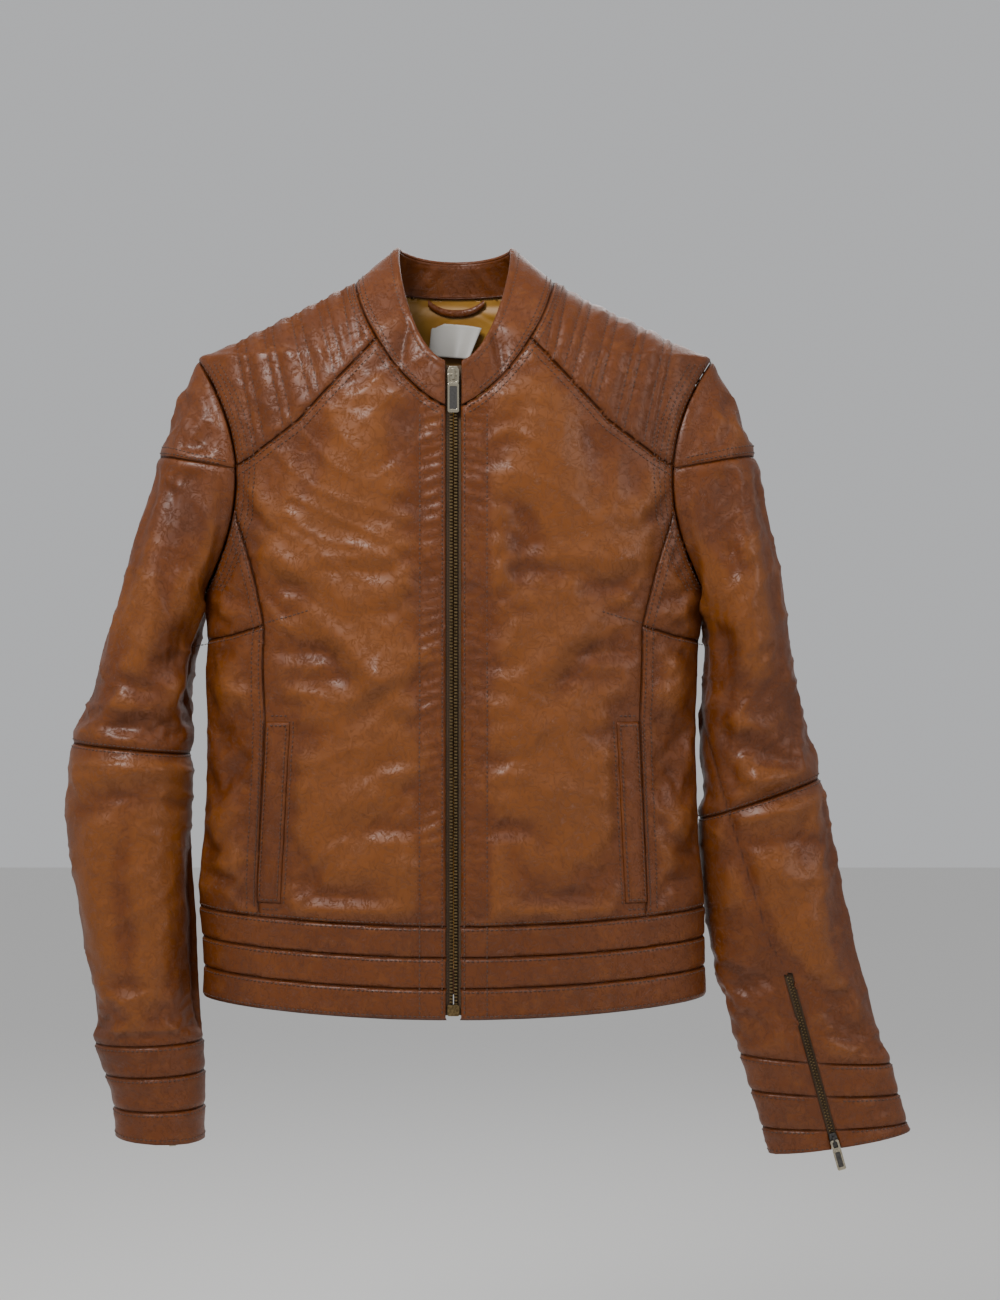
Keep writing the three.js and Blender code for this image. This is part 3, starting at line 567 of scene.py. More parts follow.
def snap(points, paths, reach):
    """Moves each point that lies within reach of a path onto it, so that pieces end on their seams."""
    best = np.full(len(points), reach)
    moved = points.copy()
    for path in paths:
        for a, b in zip(path[:-1], path[1:]):
            d = b - a
            squared = max(float(d @ d), 1e-12)
            t = np.clip((points - a) @ d / squared, 0, 1)
            nearest = a + t[:, None] * d
            distance = np.linalg.norm(points - nearest, axis=1)
            closer = distance < best
            best = np.where(closer, distance, best)
            moved[closer] = nearest[closer]
    return moved


def sound_faces(points, faces, normals):
    """True for each face that snapping has not closed up or turned over."""
    corners = points[faces]
    cross = np.cross(corners[:, 2] - corners[:, 0], corners[:, 3] - corners[:, 1])
    facing = np.sum(cross * normals[faces].mean(1), axis=1)
    return facing > 0.12


def stitches(name, rows, material, length=2.7, pitch=3.7, radius=0.40):
    """Thread stitches along rows of (points, normals), as one mesh of small spindles."""
    starts, ends, normals = [], [], []
    for path, normal in rows:
        steps = np.linalg.norm(np.diff(path, axis=0), axis=1)
        place = np.concatenate([[0], np.cumsum(steps)])
        at = np.arange(1.5, place[-1] - length, pitch)
        if len(at) == 0:
            continue

        def sample(values, where):
            return np.stack([np.interp(where, place, values[:, k]) for k in range(3)], -1)

        starts.append(sample(path, at))
        ends.append(sample(path, at + length))
        normals.append(sample(normal, at + length / 2))
    start, end, up = (np.concatenate(part) for part in (starts, ends, normals))
    up = unit(up)
    along = end - start
    side = unit(np.cross(along, up))
    rings = [start - up * radius * 0.6]
    for share in (0.22, 0.78):
        centre = start + along * share + up * radius * 0.35
        for turn in range(6):
            angle = 2 * np.pi * turn / 6
            rings.append(centre + (side * math.cos(angle) + up * math.sin(angle)) * radius)
    rings.append(end - up * radius * 0.6)
    points = np.stack(rings, 1)
    count = points.shape[1]
    one = [[1 + k, 1 + (k + 1) % 6, 7 + (k + 1) % 6, 7 + k] for k in range(6)]
    one += [[0, 1 + (k + 1) % 6, 1 + k, 1 + k] for k in range(6)]
    one += [[13, 7 + k, 7 + (k + 1) % 6, 7 + (k + 1) % 6] for k in range(6)]
    faces = (np.arange(len(points))[:, None, None] * count + np.array(one)[None]).reshape(-1, 4)
    mesh = bpy.data.meshes.new(name)
    polygons = [list(dict.fromkeys(face)) for face in faces.tolist()]
    mesh.from_pydata((points.reshape(-1, 3) * MM).tolist(), [], polygons)
    mesh.polygons.foreach_set("use_smooth", [True] * len(mesh.polygons))
    mesh.materials.append(material)
    mesh.update()
    return add_object(name, mesh)


# ---- Materials ---------------------------------------------------------------------------------------
class Nodes:
    """Short calls for building a material's nodes."""

    def __init__(self, name):
        self.material = bpy.data.materials.new(name)
        self.material.use_nodes = True
        self.tree = self.material.node_tree
        self.shader = self.tree.nodes["Principled BSDF"]

    def add(self, kind, inputs=None, **settings):
        node = self.tree.nodes.new(kind)
        for key, value in settings.items():
            setattr(node, key, value)
        for key, value in (inputs or {}).items():
            self.put(node, key, value)
        return node

    def put(self, node, key, value):
        if isinstance(value, bpy.types.NodeSocket):
            self.tree.links.new(value, node.inputs[key])
        else:
            node.inputs[key].default_value = value

    def attribute(self, name, vector=False):
        node = self.add("ShaderNodeAttribute", attribute_name=name)
        return node.outputs["Vector" if vector else "Fac"]

    def math(self, operation, a, b=0.0, clamp=False):
        node = self.add("ShaderNodeMath", {0: a, 1: b}, operation=operation, use_clamp=clamp)
        return node.outputs[0]

    def noise(self, where, scale, detail=3.0, rough=0.5, distortion=0.0):
        inputs = {"Vector": where, "Scale": scale, "Detail": detail, "Roughness": rough,
                  "Distortion": distortion}
        return self.add("ShaderNodeTexNoise", inputs).outputs["Fac"]

    def ramp(self, value, low, high, to_low=0.0, to_high=1.0):
        inputs = {"Value": value, "From Min": low, "From Max": high, "To Min": to_low, "To Max": to_high}
        node = self.add("ShaderNodeMapRange", inputs, interpolation_type="SMOOTHSTEP")
        return node.outputs[0]

    def mix(self, share, a, b, blend="MIX"):
        node = self.add("ShaderNodeMix", data_type="RGBA", blend_type=blend)
        for key, value in ((0, share), (6, a), (7, b)):
            self.put(node, key, value)
        return node.outputs[2]

    def bump(self, height, distance, strength=1.0, normal=None):
        inputs = {"Height": height, "Distance": distance, "Strength": strength}
        if normal is not None:
            inputs["Normal"] = normal
        return self.add("ShaderNodeBump", inputs).outputs["Normal"]

    def set(self, **values):
        for key, value in values.items():
            self.put(self.shader, key.replace("_", " "), value)


def leather_material(name):
    """Semi-gloss lambskin: mottled cognac and fine pores, with painted shade in the seams, quilt channels and
    creases and a painted highlight on the ridges.
    """
    n = Nodes(name)
    where = n.attribute("rest", vector=True)
    seam = n.attribute("seam")
    height = n.attribute("height")
    cloud = n.noise(where, 17.0, 4.0, 0.6, 0.4)
    patch = n.noise(where, 62.0, 3.0, 0.6)
    deep = (0.070, 0.0150, 0.0003, 1)
    seam_shade = (0.035, 0.0075, 0.00015, 1)
    middle = (0.124, 0.0285, 0.0006, 1)
    pale = (0.200, 0.0580, 0.0055, 1)
    colour = n.mix(n.ramp(cloud, 0.38, 0.76, 0.0, 0.6), middle, deep)
    colour = n.mix(n.ramp(n.noise(where, 260.0, 4.0, 0.65), 0.42, 0.7, 0.0, 0.28), colour, deep)
    # Painted highlight: the relief's ridges are mixed towards the pale colour, which also serves the random
    # pale patches below.
    colour = n.mix(n.ramp(height, 0.4, 4.6, 0.0, 0.62), colour, pale)
    colour = n.mix(n.ramp(patch, 0.50, 0.72, 0.0, 0.30), colour, pale)
    # Painted shade: the relief's creases are mixed towards the deep colour.
    colour = n.mix(n.ramp(height, -0.8, -4.4, 0.0, 0.5), colour, deep)
    # Painted shade: the leather darkens towards each seam line, in its groove.
    colour = n.mix(n.ramp(seam, 1.7, 0.2, 0.0, 0.55), colour, seam_shade)
    # Painted shade: the yokes' quilted channels are darkened.
    colour = n.mix(n.ramp(n.attribute("quilt"), 1.3, 0.2, 0.0, 0.6), colour, deep)
    cell = n.add("ShaderNodeTexVoronoi", {"Vector": where, "Scale": 980.0}, feature="F1")
    pores = n.ramp(cell.outputs["Distance"], 0.12, 0.42)
    grain = n.noise(where, 1500.0, 3.0, 0.65)
    crease = n.noise(where, 118.0, 6.0, 0.66, 1.1)
    ridge = n.math("ABSOLUTE", n.math("SUBTRACT", crease, 0.5))
    line = n.ramp(ridge, 0.0, 0.035)
    normal = n.bump(n.math("ADD", pores, n.math("MULTIPLY", grain, 0.7)), 0.00010, 0.55)
    normal = n.bump(line, 0.00040, 0.62, normal)
    normal = n.bump(n.ramp(seam, 0.1, 1.1), 0.0005, 0.6, normal)
    rough = n.ramp(n.noise(where, 34.0, 3.0, 0.6), 0.3, 0.7, 0.40, 0.52)
    n.set(Base_Color=colour, Roughness=rough, Normal=normal)
    n.set(Specular_IOR_Level=0.36, Coat_Weight=0.07, Coat_Roughness=0.24)
    return n.material


def satin_material():
    """Mustard satin: a fine twill sheen that changes tone over soft ripples."""
    n = Nodes("mustard_satin")
    where = n.attribute("rest", vector=True)
    turned = n.add("ShaderNodeMapping", {"Vector": where, "Rotation": (0.3, 0.2, 0.8)}).outputs[0]
    twill = n.add("ShaderNodeTexWave", {"Vector": turned, "Scale": 620.0, "Distortion": 0.4}).outputs["Fac"]
    tone = n.noise(where, 26.0, 3.0, 0.5)
    colour = n.mix(n.ramp(tone, 0.3, 0.7), (0.27, 0.120, 0.006, 1), (0.385, 0.190, 0.016, 1))
    normal = n.bump(twill, 0.00005, 0.5)
    normal = n.bump(n.noise(where, 70.0, 2.0), 0.0009, 0.5, normal)
    n.set(Base_Color=colour, Normal=normal, Roughness=0.50, Sheen_Weight=0.25, Anisotropic=0.4)
    return n.material


def tape_material():
    """Woven zip tape in dark olive brown."""
    n = Nodes("zip_tape")
    where = n.add("ShaderNodeTexCoord").outputs["Object"]
    weave = n.add("ShaderNodeTexWave", {"Vector": where, "Scale": 260.0}, bands_direction="Z").outputs["Fac"]
    warp = n.add("ShaderNodeTexWave", {"Vector": where, "Scale": 300.0}, bands_direction="X").outputs["Fac"]
    cloth = n.math("MULTIPLY", weave, warp)
    colour = n.mix(cloth, (0.036, 0.018, 0.006, 1), (0.105, 0.055, 0.018, 1))
    n.set(Base_Color=colour, Roughness=0.82, Normal=n.bump(cloth, 0.0002, 0.7), Sheen_Weight=0.2)
    return n.material


def metal_material(name, low, high, rough, dirt=0.4):
    """Plated metal with a dulled, slightly mottled surface."""
    n = Nodes(name)
    where = n.add("ShaderNodeTexCoord").outputs["Object"]
    spots = n.noise(where, 520.0, 4.0, 0.6)
    colour = n.mix(n.ramp(spots, 0.38, 0.66, 0.0, dirt), high + (1,), low + (1,))
    scratches = n.noise(where, 1700.0, 2.0, 0.5)
    n.set(Base_Color=colour, Metallic=1.0, Roughness=n.ramp(spots, 0.3, 0.7, rough, rough + 0.16))
    n.set(Normal=n.bump(scratches, 0.00004, 0.4))
    return n.material


def thread_material():
    n = Nodes("thread")
    where = n.add("ShaderNodeTexCoord").outputs["Object"]
    twist = n.noise(where, 2400.0, 2.0)
    colour = n.mix(twist, (0.030, 0.009, 0.002, 1), (0.075, 0.024, 0.006, 1))
    n.set(Base_Color=colour, Roughness=0.6, Sheen_Weight=0.2, Normal=n.bump(twist, 0.0001, 0.5))
    return n.material


def label_material():
    n = Nodes("silver_satin")
    where = n.add("ShaderNodeTexCoord").outputs["Object"]
    weave = n.add("ShaderNodeTexWave", {"Vector": where, "Scale": 420.0}, bands_direction="Z").outputs["Fac"]
    colour = n.mix(weave, (0.30, 0.285, 0.255, 1), (0.47, 0.45, 0.41, 1))
    n.set(Base_Color=colour, Roughness=0.42, Normal=n.bump(weave, 0.00008, 0.5), Sheen_Weight=0.2)
    return n.material


LEATHER_LOOK = leather_material("cognac_leather")
YOKE_LOOK = leather_material("cognac_leather_quilted")
SATIN_LOOK = satin_material()
TAPE_LOOK = tape_material()
BRASS_LOOK = metal_material("antique_brass", (0.050, 0.033, 0.014), (0.24, 0.165, 0.075), 0.32, 0.75)
NICKEL_LOOK = metal_material("antique_nickel", (0.17, 0.145, 0.10), (0.46, 0.41, 0.31), 0.20, 0.5)
GUNMETAL_LOOK = metal_material("gunmetal_recess", (0.035, 0.032, 0.03), (0.10, 0.095, 0.09), 0.35, 0.5)
THREAD_LOOK = thread_material()
LABEL_LOOK = label_material()


# ---- Cloth simulation ----------------------------------------------------------------------------------
SIM_FRAMES = 26
SIM_SPARE = 0.045  # how much larger than its seams the leather is cut
SIM_LIMIT = 6.5  # the furthest that a point may move


def simulate(name, grid, pinned):
    """Lets a closed grid of leather, a little too large for its seams, settle under its own weight.

    The seams are pinned. Returns how far each point of the grid (rows, columns) moved, in millimetres.
    """
    rows, columns = grid.shape[:2]
    points = grid.reshape(-1, 3)
    mesh = bpy.data.meshes.new(name)
    mesh.from_pydata((points * MM).tolist(), [], grid_faces(rows, columns, True).tolist())
    item = add_object(name, mesh)
    group = item.vertex_groups.new(name="seams")
    for index, weight in enumerate(pinned.reshape(-1)):
        group.add([index], float(weight), "REPLACE")
    modifier = item.modifiers.new("leather", "CLOTH")
    cloth = modifier.settings
    cloth.quality = 6
    cloth.mass = 0.35
    cloth.tension_stiffness = cloth.compression_stiffness = 22
    cloth.shear_stiffness = 9
    cloth.bending_stiffness = 0.9
    cloth.air_damping = 6
    cloth.vertex_group_mass = "seams"
    cloth.pin_stiffness = 4
    cloth.shrink_min = -SIM_SPARE
    modifier.collision_settings.use_collision = False
    modifier.collision_settings.use_self_collision = False
    modifier.point_cache.frame_start = 1
    modifier.point_cache.frame_end = SIM_FRAMES
    scene = bpy.context.scene
    for step in range(1, SIM_FRAMES + 1):
        scene.frame_set(step)
    settled = item.evaluated_get(bpy.context.evaluated_depsgraph_get()).to_mesh()
    after = np.empty(len(points) * 3, np.float32)
    settled.vertices.foreach_get("co", after)
    scene.frame_set(1)
    bpy.data.objects.remove(item)
    moved = after.reshape(-1, 3).astype(float) / MM - points
    length = np.linalg.norm(moved, axis=1, keepdims=True)
    return (moved * np.minimum(1, SIM_LIMIT / np.maximum(length, 1e-9))).reshape(grid.shape)


def sample_grid(values, row, column):
    """Bilinear reading of a closed grid at fractional rows and columns."""
    rows, columns = values.shape[:2]
    row = np.clip(row, 0, rows - 1.001)
    r, c = np.floor(row).astype(int), np.floor(column).astype(int)
    a, b = row - r, column - c
    c0, c1 = c % columns, (c + 1) % columns
    return ((values[r, c0] * (1 - b) + values[r, c1] * b) * (1 - a)
            + (values[r + 1, c0] * (1 - b) + values[r + 1, c1] * b) * a)


BODY_SIM_TOP, BODY_SIM_STEP, BODY_SIM_COLUMNS = 24.0, 10.5, 104


def simulate_body():
    """Height that the simulation gives the body's leather, on a grid of drops and turns."""
    drops = np.arange(BODY_SIM_TOP, BODY_LENGTH, BODY_SIM_STEP)
    turn, drop = np.meshgrid(np.arange(BODY_SIM_COLUMNS) / BODY_SIM_COLUMNS, drops)
    grid = body_surface(turn, drop)
    points = grid.reshape(-1, 3)
    front = points[:, 1] < 0
    seam = seam_field(points)
    below, _ = band_field(points)
    _, on_yoke = quilt_field(points, front)
    held = (seam < 7) | (below > -6) | (on_yoke > 0.5) | (front & (np.abs(points[:, 0]) < PLACKET + 4))
    hole = (np.abs(points[:, 0]) > SHOULDER_HALF - 24) & (points[:, 2] > -UNDERARM_DROP - 4)
    moved = simulate("body_drape", grid, (held | hole).astype(float).reshape(grid.shape[:2]))
    return np.sum(moved * grid_normals(grid, True), axis=2)


BODY_DRAPE = simulate_body()


def body_drape(points, front):
    """The simulated height at any points of the body's surface."""
    depth = np.where(front, front_depth(-points[:, 2]), back_depth(-points[:, 2]))
    sine = -points[:, 1] / depth
    turn = np.arctan2(sine, points[:, 0] / half_width(-points[:, 2])) / (2 * np.pi) % 1
    return sample_grid(BODY_DRAPE, (-points[:, 2] - BODY_SIM_TOP) / BODY_SIM_STEP, turn * BODY_SIM_COLUMNS)


# ---- Body leather ------------------------------------------------------------------------------------
def body_grid(cell, top=-2.0, bottom=None):
    """The body's plain surface as a closed grid, with the rows closer together over the shoulders."""
    bottom = BODY_LENGTH + 12 if bottom is None else bottom
    fine = np.linspace(0, 1, 2001)
    waist = body_surface(fine, 330 + 0 * fine)
    girth = np.concatenate([[0], np.cumsum(np.linalg.norm(np.diff(waist, axis=0), axis=1))])
    columns = 4 * int(round(girth[-1] / cell / 4))
    turns = np.interp(np.arange(columns) / columns * girth[-1], girth, fine)
    drops = np.concatenate([np.arange(top, SHOULDER_DROP, cell / 2.1),
                            np.arange(SHOULDER_DROP, bottom + cell, cell)])
    turn, drop = np.meshgrid(turns, drops)
    return body_surface(turn, drop), turn


BODY_NODES = ["back_panel", "left_yoke", "right_yoke", "left_front_panel", "right_front_panel",
              "left_front_side_upper", "right_front_side_upper", "left_front_side_lower",
              "right_front_side_lower", "left_back_side", "right_back_side",
              "hem_band_1", "hem_band_2", "hem_band_3"]


def body_region(centres, front):
    """Index in BODY_NODES of the piece at each place, or -1 outside the body's leather."""
    x, z = centres[:, 0], centres[:, 2]
    reach = np.abs(x)
    right = (x < 0).astype(int)
    region = np.where(front, 3 + right, 0)
    front_side = front & (z < -164) & (reach > reach_on(FRONT_PRINCESS, z))
    lower = z < height_on(FRONT_WAIST, reach)
    region = np.where(front_side, np.where(lower, 7, 5) + right, region)
    back_side = ~front & (z < -160) & (reach > reach_on(BACK_PRINCESS, z))
    region = np.where(back_side, 9 + right, region)
    line = np.where(front, height_on(FRONT_YOKE, reach), height_on(BACK_YOKE, reach))
    region = np.where((reach > YOKE_START) & (z > line) & (z > -170), 1 + right, region)
    below = hem_line(x, HEM_TOP) - z
    region = np.where(below > 0, 11 + np.clip((below / HEM_BAND).astype(int), 0, 2), region)
    angles = np.linspace(0, np.pi, 200)
    hole_x, hole_z = armhole(angles)
    limit = np.interp(z, hole_z[::-1], hole_x[::-1])
    gone = (z > -UNDERARM_DROP) & (z < -SHOULDER_DROP) & (reach > limit)
    gone |= z > neck_line(x, front)
    gone |= front & (reach < OPENING_HALF)
    gone |= below > 3 * HEM_BAND
    return np.where(gone, -1, region)


def hem_paths():
    turns = np.linspace(0, 2 * np.pi, 121)
    paths = []
    for band in range(4):
        drop = np.full(len(turns), HEM_TOP + band * HEM_BAND)
        for _ in range(4):
            x = half_width(drop) * np.cos(turns)
            drop = -hem_line(x, HEM_TOP + band * HEM_BAND)
        paths.append(body_surface(turns / (2 * np.pi), drop))
    return paths


def build_body():
    grid, turn = body_grid(CELL)
    rows, columns = grid.shape[:2]
    normals = grid_normals(grid, True).reshape(-1, 3)
    front = (turn > 0) & (turn < 0.5)
    points = grid.reshape(-1, 3)
    front = front.reshape(-1)
    zip_z = np.linspace(-100, -BODY_LENGTH - 5, 40)
    edges = [on_body(np.stack([sign * OPENING_HALF + 0 * zip_z, zip_z], -1), -1) for sign in (-1, 1)]
    paths = [path for _, path in BODY_SEAMS] + hem_paths() + edges
    points = snap(points, paths, SNAP_REACH)
    height, attributes = body_relief(points, front)
    open_x = np.where(front, np.abs(points[:, 0]), 999)
    height -= 0.9 * smooth(3.2, 0, open_x - OPENING_HALF)
    final = settle(points + normals * height[:, None])
    faces = grid_faces(rows, columns, True)
    centres = points[faces].mean(1)
    region = np.where(sound_faces(points, faces, normals), body_region(centres, centres[:, 1] < 0), -1)
    for index, node in enumerate(BODY_NODES):
        look = YOKE_LOOK if node.endswith("yoke") else LEATHER_LOOK
        item = make_mesh(f"{node}_leather", final, faces[region == index], look, attributes)
        thicken(item, LEATHER)
        finish_piece(item, "jacket", "leather", node)


build_body()


# ---- Sleeves -----------------------------------------------------------------------------------------
# Each row: outer edge (x, drop) and inner edge (x, drop) from the shoulder point, half depth, back shift.
SLEEVES = {
    "right": [
        (0, 0, -6, 186, 46, 0), (15, 32, -3, 194, 46, 0), (30, 76, 0, 206, 47, 0), (47, 127, 2, 222, 47, 0),
        (66, 192, 4, 249, 46, 0), (86, 257, 5, 282, 45, 0), (100, 306, 7, 315, 44, 0),
        (104, 373, 8, 373, 43, 0), (96, 436, 3, 452, 41, 0), (87, 507, 0, 507, 39, 0),
        (83, 546, -3, 544, 37, 0), (75, 571, -4, 569, 36.5, 0), (68, 597, -4, 597, 36, 0),
        (67, 620, -4, 624, 36, 0),
    ],
    "left": [
        (0, 0, -6, 186, 46, 0), (24, 48, -3, 197, 45, 1), (40, 98, -2, 210, 44, 3), (54, 163, -3, 239, 43, 5),
        (65, 224, -6, 275, 41, 8), (76, 280, -8, 322, 38, 10), (87, 335, -9, 368, 36, 11),
        (101, 398, -8, 399, 34, 12), (116, 461, -6, 428, 33, 12), (128, 506, 3, 480, 30, 11),
        (138, 545, 10, 514, 28, 10), (145, 565, 24, 558, 27, 10), (151, 590, 33, 587, 25, 10),
        (158, 613, 42, 617, 24, 10), (160, 620, 47, 638, 24, 10),
    ],
}
ELBOW_AT = 6
CUFF_SEAMS = {"right": (10, 11, 12), "left": (11, 12, 13)}
CAP_SEAM = [(156, -155), (234, -141), (266, -137)]
STATION_CURVES = {
    side: [curve(list(enumerate(column))) for column in zip(*rows)] for side, rows in SLEEVES.items()
}
ZIP_FRAMES = {
    "right": (np.array([-234.16, 34.94, -685.16]), np.array([-0.0960, 0.0275, 0.9950]),
              np.array([-0.0026, -0.9996, 0.0274])),
    "left": (np.array([304.17, -12.99, -692.82]), np.array([-0.2680, -0.0347, 0.9628]),
             np.array([-0.0093, 0.9994, 0.0334])),
}


def sleeve_surface(side, turn, at):
    """Points of a sleeve: turn 0 on the outer edge, a quarter at the front; `at` counts the rows."""
    out_x, out_drop, in_x, in_drop, depth, back = (c(at) for c in STATION_CURVES[side])
    angle = 2 * np.pi * turn
    share = np.cos(angle) / 2
    x = SHOULDER_HALF + (out_x + in_x) / 2 + (out_x - in_x) * share
    z = -SHOULDER_DROP - (out_drop + in_drop) / 2 - (out_drop - in_drop) * share
    y = back - depth * np.sin(angle)
    hole_x, hole_z = armhole(np.arccos(np.clip(np.cos(angle), -1, 1)))
    hole_y = face_y(hole_x, hole_z, np.where(np.sin(angle) > 0, -1, 1))
    first = SLEEVES[side][0][4]
    ease = np.clip(1 - at / 2.5, 0, 1) ** 2
    x = x + (hole_x - SHOULDER_HALF + 3 - 3 * np.cos(angle)) * ease
    y = y + (hole_y + first * np.sin(angle)) * ease
    return np.stack([x if side == "left" else -x, y, z + 0 * x], -1)


def cap_seam_at(side, turns):
    """How far down each line of the sleeve the cap's seam crosses; 0 where it has met the armhole."""
    ats = np.linspace(0, 4.5, 451)
    turn, at = np.meshgrid(turns, ats)
    grid = sleeve_surface(side, turn, at)
    below = grid[..., 2] <= height_on(CAP_SEAM, np.abs(grid[..., 0]))
    first = np.where(below.any(0), below.argmax(0), 0)
    return ats[first]


SLEEVE_FOLDS = {
    "left": [
        ([(206, -262), (212, -300), (214, -340), (206, -384)], 9, -4.0),
        ([(228, -180), (236, -240), (240, -300), (238, -360)], 15, 3.2),
        ([(252, -200), (264, -270), (276, -340)], 12, 2.2),
        ([(203, -330), (222, -352), (262, -362)], 8, 2.8),
        ([(200, -352), (226, -372), (268, -384)], 7, -2.6),
        ([(202, -372), (232, -396), (280, -392)], 7, 2.4),
        ([(204, -446), (232, -424), (290, -418)], 8, 2.8),
        ([(206, -470), (236, -448), (300, -446)], 8, -2.2),
        ([(206, -500), (246, -470), (306, -482)], 10, 2.4),
        ([(262, -450), (286, -530), (306, -600)], 14, 2.6),
        ([(240, -500), (262, -560), (270, -600)], 10, -2.2),
        ([(216, -210), (224, -230), (236, -236)], 7, -2.4),
        ([(196, -230), (204, -262), (214, -280)], 8, 3.0),
    ],
    "right": [
        ([(-200, -262), (-206, -300), (-210, -340), (-208, -372)], 9, -3.4),
        ([(-226, -170), (-236, -230), (-248, -300), (-262, -356)], 15, 3.2),
        ([(-244, -170), (-262, -250), (-280, -320)], 11, 2.4),
        ([(-212, -318), (-240, -338), (-290, -330)], 8, 2.4),
        ([(-212, -340), (-244, -356), (-296, -348)], 8, -2.4),
        ([(-212, -396), (-246, -388), (-300, -398)], 9, 2.6),
        ([(-212, -420), (-250, -410), (-304, -424)], 9, -2.2),
        ([(-236, -400), (-244, -470), (-238, -560)], 16, 3.0),
        ([(-270, -410), (-282, -480), (-272, -570)], 13, 2.6),
        ([(-216, -430), (-222, -500), (-214, -590)], 11, -2.4),
        ([(-258, -420), (-262, -490), (-254, -580)], 11, -2.2),
        ([(-216, -230), (-210, -262), (-204, -290)], 8, 2.6),
    ],
}
SLEEVE_SEAMS = {
    "left": [(194, -334), (218, -425), (251, -529), (261, -545)],
    "right": [(-213, -372), (-212, -440), (-207, -520), (-204, -604)],
}


SLEEVE_SIM_STEP, SLEEVE_SIM_COLUMNS = 0.2, 34


def slit_field(side, points):
    """Distance across and along the cuff's zip slit, and depth in from its face."""
    origin, along, inward = ZIP_FRAMES[side]
    away = points - origin
    return away @ np.cross(inward, along), away @ along, away @ inward


def sleeve_relief(side, points, turn, at):
    """Height of the sleeve's leather over its plain surface, and the fields its material uses."""
    rings = [ELBOW_AT, *CUFF_SEAMS[side]]
    seam = np.full(len(points), 1e9)
    for ring in rings:
        path = sleeve_surface(side, np.linspace(0, 1, 65), np.full(65, float(ring)))
        distance, _ = seam_distance(points, path)
        seam = np.minimum(seam, distance)
    turns = np.linspace(0, 1, 65)
    ring_path = sleeve_surface(side, turns, np.zeros(65))
    arm, _ = seam_distance(points, ring_path)
    cap_path = sleeve_surface(side, turns, cap_seam_at(side, turns))
    cap, _ = seam_distance(points, cap_path)
    flat = points[:, [0, 2]]
    front = points[:, 1] < STATION_CURVES[side][5](at)
    long_seam, _ = seam_distance(flat, dense(SLEEVE_SEAMS[side]))
    long_seam = np.where(front if side == "left" else ~front, long_seam, 1e9)
    seam = np.minimum(np.minimum(seam, cap), np.minimum(arm, long_seam))
    band = smooth(CUFF_SEAMS[side][0] - 0.12, CUFF_SEAMS[side][0] + 0.02, at)
    calm = (1 - 0.72 * band) * smooth(1, 14, seam) * smooth(0, 0.8, at)
    height = (1.1 * leather_grain(points + 31)) * (0.35 + 0.65 * calm)
    height += 1.45 * folds(points, front, SLEEVE_FOLDS[side]) * calm
    height += SIM_SHARE * sample_grid(SLEEVE_DRAPE[side], at / SLEEVE_SIM_STEP,
                                      (turn % 1) * SLEEVE_SIM_COLUMNS) * calm
    height += 0.7 * folds(points + np.array([6, 0, 9]), front, SLEEVE_FOLDS[side], False) * calm
    elbow = bump(at - ELBOW_AT, 1.5) * calm
    pinch = 1 - np.abs(noise(points + 7 * noise(points, 40, 11)[:, None], (46, 40, 15), 12))
    height += elbow * 2.0 * pinch ** 3
    height += -0.8 * bump(seam, 1.3) + 0.7 * bump(seam - 5.5, 4.0)
    across, along, depth = slit_field(side, points)
    near = (np.abs(depth) < SLIT_DEPTH + 2) & (along < SLIT_LENGTH + 12)
    beside = np.where(near, np.maximum(np.abs(across) - SLIT_HALF, along - SLIT_LENGTH), NO_SEAM)
    height = np.where(near, height * (0.25 + 0.75 * smooth(1, 16, np.abs(beside))), height)
    height += 0.35 * bump(beside - 3, 2.4)
    return height, leather_fields(seam, height)


def surface_normals(side, turn, at):
    tiny = 1e-3
    across = sleeve_surface(side, turn + tiny, at) - sleeve_surface(side, turn - tiny, at)
    down = sleeve_surface(side, turn, at + 0.02) - sleeve_surface(side, turn, at - 0.02)
    return unit(np.cross(across, down) * (1 if side == "left" else -1))


def simulate_sleeve(side):
    """Height that the simulation gives a sleeve's leather, on a grid of rows and turns."""
    last = len(SLEEVES[side]) - 1
    ats = np.arange(0, last + 0.01, SLEEVE_SIM_STEP)
    turn, at = np.meshgrid(np.arange(SLEEVE_SIM_COLUMNS) / SLEEVE_SIM_COLUMNS, ats)
    grid = sleeve_surface(side, turn, at)
    cap = cap_seam_at(side, turn[0])
    held = (at < 0.35) | (np.abs(at - ELBOW_AT) < 0.15) | (at > CUFF_SEAMS[side][0] - 0.15)
    held |= (np.abs(at - cap) < 0.15) & (cap > 0)
    across, along, depth = slit_field(side, grid.reshape(-1, 3))
    slit = (np.abs(across) < 9) & (along < SLIT_LENGTH + 8) & (np.abs(depth) < SLIT_DEPTH)
    moved = simulate(f"{side}_sleeve_drape", grid, (held | slit.reshape(at.shape)).astype(float))
    return np.sum(moved * surface_normals(side, turn, at), axis=2)


SLEEVE_DRAPE = {side: simulate_sleeve(side) for side in SLEEVES}


def sleeve_block(side, cell, start, end):
    """Grid block of a sleeve between two rows; each may be a number or one value for each column."""
    columns = int(round(310 / cell / 4)) * 4
    turns = np.arange(columns) / columns
    low = start(turns) if callable(start) else np.full(columns, float(start))
    high = end(turns) if callable(end) else np.full(columns, float(end))
    gaps = np.linalg.norm(sleeve_surface(side, turns, high) - sleeve_surface(side, turns, low), axis=1)
    rows = max(4, int(round(gaps.max() / cell)))
    share = np.linspace(0, 1, rows + 1)[:, None]
    at = low + (high - low) * share
    turn = np.broadcast_to(turns, at.shape)
    grid = sleeve_surface(side, turn, at)
    normal = surface_normals(side, turn, at)
    faces = grid_faces(rows + 1, columns, True, side == "right")
    return grid.reshape(-1, 3), normal.reshape(-1, 3), turn.reshape(-1), at.reshape(-1), faces


